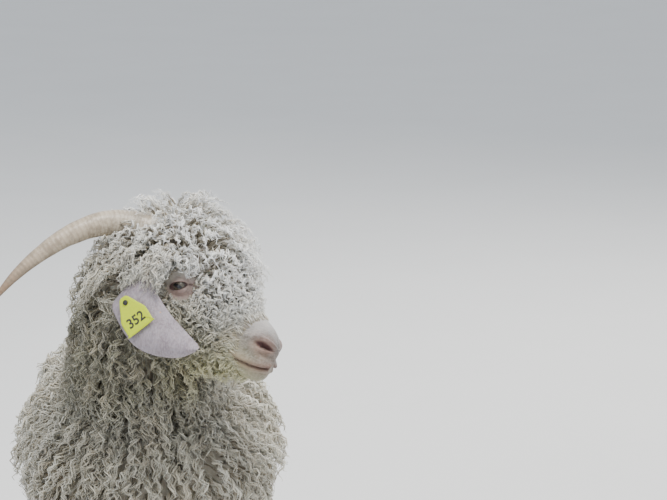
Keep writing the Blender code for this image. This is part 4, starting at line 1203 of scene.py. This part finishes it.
def fringe(rng):
    """Locks that hang from the head over the upper part of each ear."""
    lines, roots = [], []
    for side in (1, -1):
        for _ in range(FRINGE_LOCKS):
            v = rng.uniform(-0.22, 0.85)
            u = rng.uniform(0.06, 0.43 - 0.42 * max(v, 0))
            end = from_head(ear_points(side, u, v + rng.normal(0, 0.06), rng.uniform(0.004, 0.011)))
            root = mirrored((-0.034 - 0.030 * v, 0.047, 0.039 - 0.030 * v), side) + rng.normal(0, 0.008, 3)
            middle = (root + end) / 2 + (0, side * rng.uniform(0.024, 0.040), rng.uniform(0.004, 0.016))
            line = [root * (1 - t) ** 2 + middle * 2 * t * (1 - t) + end * t**2 for t in GUIDE_SHARES]
            lines.append(on_head(line))
            roots.append((HEAD_PART, 0.28 - 0.04 * v, 0.25 if side > 0 else 0.75, 0.03))
    return special(lines, roots, "head")


def down(rng):
    """Short straight hair where the fleece ends on the face, lying back along it."""
    loft = Head()
    lines, roots = [], []
    for _ in range(DOWN_LOCKS):
        angle = rng.uniform(0, math.tau)
        start = float(face_limit(math.cos(angle))) + rng.uniform(*DOWN_BAND)
        length, swing, rise = rng.uniform(0.008, 0.014), rng.normal(0, 0.10), rng.uniform(0.0015, 0.0035)
        line = []
        for t in GUIDE_SHARES:
            place = np.interp(start - length * t, loft.rows[:, 0], np.arange(len(loft.rows)))
            on_skin = loft.bare(np.array(place), np.array(angle + swing * t))
            inside = np.array((on_skin[0] - 0.004, 0, -0.02))
            lift = rise * math.sin(t * math.pi * 0.6) - 0.0015 * (1 - t)
            line.append(on_skin + unit(on_skin - inside) * lift)
        lines.append(on_head(line))
        roots.append((HEAD_PART, place / loft.last, angle / math.tau, 0.01))
    return special(lines, roots, "face")


def wisps(rng):
    """A few fine long locks that stand out of the crown."""
    lines, roots = [], []
    for x, y, z, ahead, aside, rise in WISPS:
        for _ in range(WISPS_IN_A_BUNCH):
            root = np.array((x, y, z)) + rng.normal(0, 0.005, 3)
            lift = np.array((ahead, aside, rise)) * rng.uniform(0.7, 1.1) + rng.normal(0, 0.005, 3)
            bend = np.array((0.6 * ahead, 0.6 * aside, -0.25 * rise))
            lines.append(on_head([root + lift * t + bend * t**2 * 0.5 for t in GUIDE_SHARES]))
            roots.append((HEAD_PART, 0.2, 0.02, 0.03))
    return special(lines, roots, "head", (0.6, 0.8))


def off_eyes(lines):
    """Which locks keep off the eyes."""
    local = from_head(lines)
    near = [np.linalg.norm(local - mirrored(EYE_CENTRE, side), axis=2).min(axis=1) for side in (1, -1)]
    return np.minimum(*near) > EYE_RADIUS + EYE_CLEARANCE


def above_ear(points):
    """Whether a root is on the upper side of the ears, near their own roots."""
    local = from_head(points)
    local[:, 1] = np.abs(local[:, 1])
    along, across = ear_axes()
    from_root = local - EAR_LINE[1]
    return (from_root @ across < 0.024) & (from_root @ along < 0.046)


def crosses(line, tree):
    """Whether a line goes through a surface."""
    for a, b in zip(line[:-1], line[1:]):
        step = b - a
        size = float(np.linalg.norm(step))
        if tree.ray_cast(Vector(a), Vector(step / size), size + 0.002)[0] is not None:
            return True
    return False


def past_ears(lines, points, tree):
    """Lays locks that start above the ears over them and the others under them, and says which get past."""
    keep = np.ones(len(lines), bool)
    above = above_ear(points)
    for k, line in enumerate(lines):
        if not crosses(line, tree):
            continue
        side = 1 if from_head(line[0])[1] > 0 else -1
        way, reach = (1, 0.2) if above[k] else (-1, 0.1)
        outward = HEAD_AXES[:, 1] * side * way
        for n in range(1, len(line)):
            start = line[n] + outward * reach
            hit = tree.ray_cast(Vector(start), Vector(-outward), reach + EAR_OVERLAP)[0]
            if hit is not None:
                line[n] = np.array(hit) + outward * EAR_OVERLAP
        keep[k] = above[k] or not crosses(line, tree)
    return keep


def off_tag(lines):
    """Which locks leave the front of the ear tag free."""
    place, axis, down = tag_frame()
    away = lines - place
    aside, below, before = away @ np.cross(axis, down), away @ down, away @ axis
    width, height, _ = TAG_SIZE
    over = (np.abs(aside) < width / 2 + TAG_MARGIN) & (below > -0.2 * height - TAG_MARGIN) & (below < height)
    return ~(over & (before > TAG_BEFORE[0]) & (before < TAG_BEFORE[1])).any(axis=1)


def under_ceiling(lines):
    """Bends locks down that would rise past the top of the solids' box."""
    over = np.maximum(lines[..., 2] - CAD_BOX[1][2] - CEILING_OVER, 0)
    lines[..., 2] += CEILING_ROOM * np.tanh(over / CEILING_ROOM) - over


def strand_tree(look):
    """Geometry nodes that turn guide lines into tapering curled strands."""
    tree = bpy.data.node_groups.new("curled strands", "GeometryNodeTree")
    for name, way, kind in (
        ("Guides", "INPUT", "NodeSocketGeometry"),
        ("Strand Radius", "INPUT", "NodeSocketFloat"),
        ("Curl Radius", "INPUT", "NodeSocketFloat"),
        ("Patch Size", "INPUT", "NodeSocketFloat"),
        ("Sides", "INPUT", "NodeSocketInt"),
        ("Fleece", "OUTPUT", "NodeSocketGeometry"),
    ):
        tree.interface.new_socket(name, in_out=way, socket_type=kind)

    def node(kind, inputs=None, **settings):
        return add_node(tree, kind, inputs or {}, settings)

    def named(name, kind="FLOAT"):
        return node("GeometryNodeInputNamedAttribute", {"Name": name}, data_type=kind).outputs["Attribute"]

    def worked_out(operation, *values):
        return node("ShaderNodeMath", dict(enumerate(values)), operation=operation).outputs["Value"]

    def vectors(operation, first, second):
        return node("ShaderNodeVectorMath", {0: first, 1: second}, operation=operation).outputs["Vector"]

    def scaled(vector, factor):
        inputs = {"Vector": vector, "Scale": factor}
        return node("ShaderNodeVectorMath", inputs, operation="SCALE").outputs["Vector"]

    given = node("NodeGroupInput").outputs
    curves = node("GeometryNodeMeshToCurve", {"Mesh": given["Guides"]})
    normal = node("GeometryNodeInputNormal").outputs["Normal"]
    tangent = node("GeometryNodeInputTangent").outputs["Tangent"]
    binormal = vectors("CROSS_PRODUCT", tangent, normal)

    def off_line(angle, distance):
        """Step away from the line, at an angle round it."""
        sideways = scaled(normal, worked_out("MULTIPLY", worked_out("COSINE", angle), distance))
        crossing = scaled(binormal, worked_out("MULTIPLY", worked_out("SINE", angle), distance))
        return vectors("ADD", sideways, crossing)

    curl = off_line(named("turn"), worked_out("MULTIPLY", named("curl"), given["Curl Radius"]))
    split = off_line(named("strand_turn"), named("split"))
    inputs = {"Geometry": curves.outputs["Curve"], "Offset": vectors("ADD", curl, split)}
    moved = node("GeometryNodeSetPosition", inputs)
    circle = node("GeometryNodeCurvePrimitiveCircle", {"Radius": 1.0, "Resolution": given["Sides"]})
    turn = node("GeometryNodeSplineParameter").outputs["Factor"]
    inputs = {"Name": "round", "Geometry": circle.outputs["Curve"], "Value": turn}
    profile = node("GeometryNodeStoreNamedAttribute", inputs, data_type="FLOAT", domain="POINT")
    tube = node("GeometryNodeCurveToMesh", {
        "Fill Caps": True,
        "Curve": moved.outputs["Geometry"],
        "Profile Curve": profile.outputs["Geometry"],
        "Scale": worked_out("MULTIPLY", named("thick"), given["Strand Radius"]),
    })
    patch = node("ShaderNodeCombineXYZ", {
        "X": worked_out("MULTIPLY", named("round"), given["Patch Size"]),
        "Y": worked_out("MULTIPLY", named("along"), given["Patch Size"]),
    })
    place = vectors("ADD", named("root_place", "FLOAT_VECTOR"), patch.outputs["Vector"])
    inputs = {"Name": "OFBake", "Geometry": tube.outputs["Mesh"], "Value": place}
    strand = node("GeometryNodeStoreNamedAttribute", inputs, data_type="FLOAT2", domain="CORNER")
    for kind in ("GeometryNodeSetShadeSmooth", "GeometryNodeRealizeInstances"):
        strand = node(kind, {"Geometry": strand.outputs["Geometry"]})
    strand = node("GeometryNodeSetMaterial", {"Geometry": strand.outputs["Geometry"], "Material": look})
    node("NodeGroupOutput", {"Fleece": strand.outputs["Geometry"]})
    return tree


def dressed(obj, tree, **inputs):
    """The guide lines made into strands, as a plain mesh."""
    modifier = obj.modifiers.new("strands", "NODES")
    modifier.node_group = tree
    sockets = {item.name: item.identifier for item in tree.interface.items_tree if item.in_out == "INPUT"}
    for name, value in inputs.items():
        modifier[sockets[name.replace("_", " ")]] = value
    return applied(obj)


def strand_shares(steps):
    """Places along a strand: few in its hidden root, even in its curled part."""
    return np.concatenate(((0.0, 0.18, 0.32), np.linspace(0.42, 1.0, steps - 3)))


def strand_guides(name, lines, style, rows, rng):
    """Mesh of edges along each lock's strands, with what they need stored on their points."""
    locks, strands, steps = len(lines), int(style[0, STRANDS]), int(style[0, STEPS])
    lines, style, rows = (np.repeat(values, strands, axis=0) for values in (lines, style, rows))
    count = locks * strands
    number = np.tile(np.arange(strands), locks)[:, None]

    def for_lock(values):
        return np.repeat(values, strands)[:, None]

    def slow_wave(low, high):
        return np.sin(share * rng.uniform(low, high, (count, 1)) + rng.uniform(0, 6, (count, 1)))

    # middle line of each strand, on a smooth curve through its guide
    share = np.broadcast_to(strand_shares(steps), (count, steps))
    reach = 1 - 0.25 * rng.random((count, 1)) * (number > 0)
    last = len(GUIDE_SHARES) - 1
    places = np.interp(share * reach, GUIDE_SHARES, np.arange(last + 1))
    index = np.minimum(places.astype(int), last - 1)
    one = np.arange(count)[:, None]
    near = (lines[one, np.clip(index + k, 0, last)] for k in (-1, 0, 1, 2))
    points = curve(*near, (places - index)[..., None])
    pieces = np.linalg.norm(np.diff(points, axis=1), axis=2)
    run = np.concatenate((np.zeros((count, 1)), np.cumsum(pieces, axis=1)), axis=1)

    # how far round and away from it the curl and the lock's other strands lie
    hand = for_lock(rng.choice((-1.0, 1.0), locks))
    pitch = style[:, [PITCH]] * for_lock(rng.uniform(0.75, 1.3, locks))
    loose = number == strands - 1
    wander = rng.normal(0, 0.30, (count, 1)) + 0.9 * slow_wave(3, 8)
    turn = for_lock(rng.uniform(0, math.tau, locks)) + hand * math.tau * run / pitch + wander
    curl = style[:, [CURL]] * for_lock(rng.uniform(0.5, 1.35, locks)) * smoothstep(0.22, 0.55, share)
    curl = curl * (1 + 0.35 * slow_wave(4, 10))
    curl = curl * (1 - 0.30 * smoothstep(0.85, 1.0, share)) * np.where(loose, 1.35, 1.0)
    strand_turn = number * math.tau / strands + turn * 0.5
    split = style[:, [SPREAD]] * for_lock(rng.uniform(0.7, 1.25, locks))
    split = split * (0.45 + 0.55 * smoothstep(0.1, 0.5, share))
    split = split * (1 - 0.45 * smoothstep(0.6, 1.0, share)) * np.where(loose, 1.5, 1.0)
    thick = style[:, [THICKNESS]] * rng.uniform(0.75, 1.3, (count, 1))
    thick = thick * (1 - 0.80 * smoothstep(0.55, 1.0, share)) * np.where(loose, 0.55, 1.0)
    vary = for_lock(rng.random(locks)) * 0.75 + rng.random((count, 1)) * 0.25

    mesh = bpy.data.meshes.new(name)
    mesh.vertices.add(count * steps)
    mesh.edges.add(count * (steps - 1))
    flat = points.reshape(-1, 3)
    put_positions(mesh, flat)
    start = (one * steps + np.arange(steps - 1)).ravel()
    mesh.edges.foreach_set("vertices", np.column_stack((start, start + 1)).astype(np.int32).ravel())
    grey, chin, mane = stains(flat)
    stored = {
        "turn": turn, "curl": curl, "strand_turn": strand_turn, "split": split, "thick": thick,
        "along": share, "vary": vary * np.ones((1, steps)), "grey": grey, "chin": chin, "mane": mane,
    }
    for key, values in stored.items():
        store(mesh, key, values)
    root = np.column_stack((rows[:, ROUND] * 0.99 + 0.003, rows[:, PLACE] * 0.99 + 0.003, np.zeros(count)))
    store(mesh, "root_place", np.repeat(root, steps, axis=0), "FLOAT_VECTOR")
    return new_object(name, mesh)


def grown_locks(skin, coats, ear_tree, rng):
    """All locks of the coat: middle lines, styles, root rows, names of their regions and root points."""
    points, normals = scattered(skin.data, coats, rng)
    rows = coats.at(points.tolist())
    names = kind_at(coats, rows, points)
    off_ears = nearest_distance(ear_tree, points.tolist(), 0.02) > 0.004
    keep = (rows[:, DEPTH] > LEAST_COAT) & off_ears
    points, normals, rows, names = (values[keep] for values in (points, normals, rows, names))
    lines, style = guides(points, normals, names, rows[:, DEPTH], tree_of(skin), rng)
    near_head = (names == "head") | (names == "neck")
    bent = off_horns(lines[near_head])
    lines[near_head] = bent
    keep = off_eyes(lines)
    keep[near_head] &= past_ears(bent, points[near_head], ear_tree)
    lines[near_head] = bent
    locks = [values[keep] for values in (lines, style, rows, names, points)]
    for name, grow in (("head", cuff), ("head", fringe), ("head", wisps), ("face", down)):
        more = grow(rng)
        more = (*more, np.full(len(more[0]), name), more[0][:, 0])
        locks = [np.concatenate(pair) for pair in zip(locks, more)]
    keep = off_tag(locks[0])
    locks = [values[keep] for values in locks]
    under_ceiling(locks[0])
    return locks


def fleece(skin, coats, ear_tree, look):
    """The whole coat, in pieces of under 200,000 triangles."""
    rng = np.random.default_rng(SEED)
    lines, style, rows, names, points = grown_locks(skin, coats, ear_tree, rng)
    strands = strand_tree(look)
    groups = {
        "fleece_head": ("head", ("head",)),
        "fleece_face": ("face", ("head",)),
        "fleece_neck": ("neck", ("neck",)),
        "fleece_chest": ("chest", ("torso",)),
        "fleece_trunk": ("torso", ("torso",)),
        "fleece_tail": ("tail", ("tail",)),
        "fleece_legs": ("leg", ("leg_front_left", "leg_front_right", "leg_hind_left", "leg_hind_right")),
    }
    for name, (region, nodes) in groups.items():
        chosen = np.flatnonzero(names == region)
        order = chosen[np.argsort(points[chosen, 1 if region == "torso" else 0])]
        joints = style[order[0], STEPS] - 1
        triangles = style[order[0], STRANDS] * (joints * 2 * STRAND_SIDES + 2 * (STRAND_SIDES - 2))
        parts = max(1, math.ceil(len(order) * triangles / TRIANGLES_A_PIECE))
        for number, part in enumerate(np.array_split(order, parts), 1):
            piece = f"{name}_{number}" if parts > 1 else name
            obj = strand_guides(piece, lines[part], style[part], rows[part], rng)
            dressed(obj, strands, Strand_Radius=1.0, Curl_Radius=1.0, Patch_Size=PATCH, Sides=STRAND_SIDES)
            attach(obj, "root")
            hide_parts(*nodes)


# Horns, eyes, claws and tag

def ride(obj, slot, *nodes):
    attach(obj, "root")
    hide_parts(*nodes)
    return obj


def horn(side):
    """Oval horn with fine growth rings, close at its base."""
    places = np.linspace(0, len(HORN_ROWS) - 1, HORN_RINGS)
    rows = smooth_rows(HORN_ROWS, places)
    line = on_head(mirrored(rows[:, :3], side))
    along = unit(np.gradient(line, axis=0))
    across = unit(np.cross(along, HEAD_AXES[:, 2]))
    up = np.cross(across, along)
    turns = ring_turns(HORN_TURNS)
    rng = random.Random(SEED + side)
    waves = sum(np.sin(places * (9 + 5 * k) + rng.uniform(0, 6)) * 0.5**k for k in range(RING_WAVES))
    ridge = 1 + 0.011 * waves * (1 - smoothstep(3.6, 6.5, places))
    keel = 1 + 0.05 * np.cos(2 * turns) + 0.015 * np.cos(3 * turns)
    wide = (rows[:, 3] * ridge)[:, None] * keel * np.cos(turns)
    deep = (rows[:, 4] * ridge)[:, None] * keel * np.sin(turns)
    rings = line[:, None] + across[:, None] * wide[..., None] + up[:, None] * deep[..., None]
    obj = ring_object(f"horn_{side_word(side)}_ringed", rings, line[0], line[-1] + along[-1] * 0.002)
    shares = np.repeat(places / places[-1], len(turns))
    store(obj.data, "along", np.concatenate((shares, (0.0, 1.0))))
    return ride(obj, "horn", "horn_" + side_word(side))


def horn_look():
    """Grey-brown horn, pale at the base and dark at the tip, with fine rings and a fibrous grain."""
    look = Look("horn", 0.48, Coat_Weight=0.08)
    along = look.attribute("along")
    grain = look.noise(look.place((1, 0.4, 1)), 75, 7, 0.72)
    colour = look.tones(along, 0.05, 0.55, (HORN_BASE, HORN_MIDDLE))
    colour = look.mix(look.spread(along, 0.62, 1.0), colour, HORN_TIP)
    colour = look.mix(look.times(look.spread(grain, 0.44, 0.60), 0.62), colour, HORN_GRAIN)
    uneven = look.times(look.noise(look.place(), 30, 2), 9)
    bands = look.worked_out("SINE", look.worked_out("ADD", look.times(along, 330), uneven))
    colour = look.mix(look.times(look.spread(bands, 0.1, 1.0), 0.35), colour, HORN_BAND)
    return look.done(colour, look.bump(grain, 0.0006, 0.4, look.bump(bands, 0.0005, 0.35)))


def eye(side):
    """Eyeball with its cornea, and the place across its face stored for the iris and pupil."""
    bm = bmesh.new()
    bmesh.ops.create_uvsphere(bm, u_segments=64, v_segments=40, radius=EYE_RADIUS)
    level = unit(np.array((1.0, 0, 0.06)))
    marks = []
    for vertex in bm.verts:
        x, y, z = vertex.co
        direction = unit((x, z, -y))
        facing = direction[1]
        bulge = 1 + 0.035 * float(smoothstep(0.80, 0.97, facing))
        local = direction * EYE_RADIUS * bulge
        marks.append((local @ level, local[2], facing))
        vertex.co = on_head(mirrored(local + EYE_CENTRE, side))
    mesh = closed_mesh("eye", bm)
    store(mesh, "gaze", marks, "FLOAT_VECTOR")
    return ride(new_object("eyeball_" + side_word(side), mesh), "eye", "eye_" + side_word(side))


def eye_look():
    """Grey-amber iris with a level slot for a pupil, under a wet coat."""
    look = Look("wet eye", 0.25, Coat_Weight=0.55, Coat_Roughness=0.03)
    gaze = look.node("ShaderNodeAttribute", attribute_name="gaze").outputs["Vector"]
    across = look.node("ShaderNodeSeparateXYZ", {0: gaze}).outputs

    def oval(half_length, half_height):
        """1 on the rim of an oval in the middle of the eye's face."""
        x, y = look.times(across["X"], 1 / half_length), look.times(across["Y"], 1 / half_height)
        stretched = look.node("ShaderNodeCombineXYZ", {"X": x, "Y": y}).outputs[0]
        return look.node("ShaderNodeVectorMath", {0: stretched}, operation="LENGTH").outputs["Value"]

    iris = look.tones(look.noise(gaze, 900, 3), 0.35, 0.65, IRIS)
    colour = look.mix(look.spread(oval(0.0094, 0.0094), 0.82, 1.0), iris, IRIS_EDGE)
    return look.done(look.mix(look.spread(oval(0.0060, 0.0026), 0.85, 1.15), PUPIL, colour))


def claw(name, centre, side):
    """Half a foot: flat sole, rounded wall, sloping toe."""
    turns = np.linspace(0, math.pi, 15)
    rings = []
    for index, row in enumerate(smooth_rows(CLAW_ROWS, np.linspace(0, len(CLAW_ROWS) - 1, 22))):
        height, length, width, shift = row
        ridge = 1 + 0.006 * math.sin(index * 2.1)
        wall_x = width * ridge * np.sin(turns) ** 0.72
        wall_y = -np.cos(turns) * length / 2 * ridge + shift
        split_y = np.linspace(length / 2 + shift, -length / 2 + shift, 7)[1:-1]
        x = centre[0] + side * (CLAW_SPLIT / 2 + np.concatenate((wall_x, np.zeros(len(split_y)))))
        y = centre[1] + np.concatenate((wall_y, split_y))
        rings.append(np.column_stack((x, y, np.full(len(x), max(height, 0)))) + TO_ORIGIN)
    obj = ring_object(name + "_horned", rings, rings[0].mean(axis=0), rings[-1].mean(axis=0))
    obj.data.set_sharp_from_angle(angle=math.radians(55))
    return ride(obj, "hoof", name)


def claw_look():
    """Dark horn of the claws, streaked downwards and layered across."""
    look = Look("hoof horn", 0.5)
    layers = look.noise(look.place((1, 1, 3)), 110, 3)
    colour = look.tones(look.noise(look.place((3, 3, 0.4)), 120, 4), 0.35, 0.7, CLAW)
    return look.done(colour, look.bump(layers, 0.0007, 0.5))


def tag_frame():
    """Pin's place on the right ear, its axis outwards, and the tag's downward direction."""
    u, v = TAG_PIN
    place = ear_points(-1, u, v, 0)
    near = [ear_points(-1, u + a, v + b, 0) for a, b in ((-0.05, 0), (0.05, 0), (0, -0.15), (0, 0.15))]
    axis = unit(np.cross(near[1] - near[0], near[3] - near[2]))
    if axis @ HEAD_AXES[:, 1] > 0:
        axis = -axis
    down = HEAD_AXES @ np.array(TAG_LEAN)
    return place, axis, unit(down - axis * (down @ axis))


def tag_plate(name, side, turn, slot, node):
    """Moulded plate with rounded edges."""
    place, axis, down = tag_frame()
    down = turn_about(axis, turn) @ down
    across = np.cross(axis, down)
    width, height, thick = TAG_SIZE
    half = [(x * width / 2, y * height) for x, y in TAG_OUTLINE]
    outline = np.array(half + [(-x, y) for x, y in reversed(half)])
    looped = np.vstack((outline[-2:], outline, outline[:2]))
    rounded = smooth_rows(looped, 2 + np.linspace(0, len(outline), TAG_POINTS, endpoint=False))
    middle = np.array((0, 0.45 * height))
    stand = TAG_FRONT_STAND if side > 0 else -TAG_BACK_STAND
    rings = []
    for inset, level in TAG_EDGE:
        flat = middle + (rounded - middle) * (1 - inset)
        rings.append([place + axis * (stand + level * thick / 2) + across * x + down * y for x, y in flat])
    ends = [place + axis * (stand + level * thick / 2) + down * middle[1] for level in (-1, 1)]
    return ride(ring_object(name, rings, *ends), slot, node)


def tag_pin():
    """Stud with a domed head at each end of its shaft."""
    place, axis, _ = tag_frame()
    side = unit(np.cross(axis, (0.2, 0.3, 0.9)))
    up = np.cross(axis, side)
    half, (radius, tall) = TAG_SIZE[2] / 2, PIN_HEAD
    front, back = TAG_FRONT_STAND + half + PLATE_GAP, -TAG_BACK_STAND - half - PLATE_GAP
    profile = [(share, back - tall * high) for share, high in PIN_PROFILE]
    profile += [(share, front + tall * high) for share, high in reversed(PIN_PROFILE)]
    circle = [side * math.cos(t) + up * math.sin(t) for t in ring_turns(28)]
    rings = [[place + axis * height + radius * share * p for p in circle] for share, height in profile]
    ends = [place + axis * height for height in (back - tall, front + tall)]
    return ride(ring_object("ear_tag_stud", rings, *ends), "pin", "ear_tag_pin")


def tag_number():
    """Plain digits, printed a hair thick on the front plate."""
    place, axis, down = tag_frame()
    across = np.cross(axis, down)
    font = bpy.data.curves.new("digits", "FONT")
    font.body = TAG_NUMBER
    font.align_x, font.align_y = "CENTER", "CENTER"
    font.size, font.extrude, font.offset = 0.0185, 0.00012, 0.0004
    font.resolution_u = 4
    text = new_object("ear_tag_number", font)
    mesh = evaluated_mesh(text)
    remove(text)
    centre = place + axis * (TAG_FRONT_STAND + TAG_SIZE[2] / 2 + 0.00005) + down * TAG_SIZE[1] * 0.66
    put_positions(mesh, centre + positions(mesh) @ np.stack((across, -down, axis)))
    obj = new_object("ear_tag_number", mesh)
    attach(obj, "root")
    return obj


def plastic_look(name, colours):
    """Worn plastic, from its own colour to a faded one."""
    look = Look(name, 0.42, Subsurface_Weight=0.05, Specular_IOR_Level=0.25)
    place = look.place()
    wear = look.spread(look.noise(place, 180, 4), 0.45, 0.75)
    colour = look.mix(look.times(wear, 0.5), *colours)
    return look.done(colour, look.bump(look.noise(place, 900, 3), 0.0002, 0.35))


# Stage

def stage():
    floor = new_object("floor", bpy.data.meshes.new("floor"))
    floor.data.from_pydata([(-30, -30, 0), (30, -30, 0), (30, 30, 0), (-30, 30, 0)], [], [(0, 1, 2, 3)])
    look = Look("pale floor", 0.9)
    floor.data.materials.append(look.done(look.mix(look.noise(look.place(), 3, 2), *FLOOR)))
    world = bpy.data.worlds.new("studio")
    bpy.context.scene.world = world
    world.use_nodes = True
    background = world.node_tree.nodes["Background"].inputs
    background["Color"].default_value = (*SKY, 1)
    background["Strength"].default_value = SKY_STRENGTH
    for name, place, aim, size, watts, colour in LIGHTS:
        light = bpy.data.lights.new(name, "AREA")
        light.energy, light.size, light.color = watts, size, colour
        lamp = new_object(name, light)
        lamp.location = place
        lamp.rotation_euler = (Vector(aim) - Vector(place)).to_track_quat("-Z", "Y").to_euler()


def camera():
    made = bpy.data.cameras.new("photo view")
    made.lens, made.sensor_width = LENS_MM, SENSOR_MM
    made.clip_end = 100
    obj = new_object("photo_view", made)
    back = Vector(heading(VIEW_AZIMUTH, VIEW_ELEVATION))
    obj.location = Vector(VIEW_TARGET) + back * VIEW_DISTANCE
    obj.rotation_euler = (-back).to_track_quat("-Z", "Y").to_euler()
    bpy.context.scene.camera = obj


def body():
    """Skin with its lids and ears, and the fleece that grows on it."""
    torso, neck, tail = Loft("torso", TORSO_ROWS), Loft("neck", NECK_ROWS), Loft("tail", TAIL_ROWS)
    torso.narrowing = NARROWER_ABOVE
    head = Head()
    legs = [Loft("leg", rows, side) for rows in (FRONT_LEG_ROWS, HIND_LEG_ROWS) for side in (1, -1)]
    skin = body_skin([torso, neck, tail, *legs])
    face = head_skin(head)
    ears = [ear(side) for side in (1, -1)]
    ear_tree, face_tree = ears_tree(ears), tree_of(face)
    united(skin, [face, *(lids(side, face_tree) for side in (1, -1)), *ears])
    skin.name = skin.data.name = "skin"
    skin.data.shade_smooth()
    skin_marks(skin.data, ear_tree)
    skin.data.materials.clear()
    skin.data.materials.append(skin_look())
    ride(skin, "face", "head", "neck", "torso", "tail", "leg_front_left", "leg_front_right", "leg_hind_left",
         "leg_hind_right", "ear_left", "ear_right")
    fleece(skin, CoatMap([torso, neck, tail, head, *legs]), ear_tree, fleece_look())


def hard_parts():
    """Horns, eyes, claws and the ear tag."""
    horn_material, eye_material, claw_material = horn_look(), eye_look(), claw_look()
    yellow = plastic_look("yellow plastic", YELLOW_PLASTIC)
    orange = plastic_look("orange plastic", ORANGE_PLASTIC)
    dark = plastic_look("dark plastic", DARK_PLASTIC)
    for side in (1, -1):
        horn(side).data.materials.append(horn_material)
        eye(side).data.materials.append(eye_material)
    for (x, y), end in ((FRONT_FOOT, "front"), (HIND_FOOT, "hind")):
        for side in (1, -1):
            for half, word in ((1, "outer"), (-1, "inner")):
                node = f"claw_{end}_{side_word(side)}_{word}"
                claw(node, (x * side, y), half * side).data.materials.append(claw_material)
    tag_plate("tag_plate_front", 1, 0, "tag", "ear_tag_front").data.materials.append(yellow)
    plate = tag_plate("tag_plate_back", -1, TAG_BACK_TURN, "tag_back", "ear_tag_back")
    plate.data.materials.append(orange)
    tag_pin().data.materials.append(dark)
    tag_number().data.materials.append(dark)


camera()
stage()
body()
hard_parts()
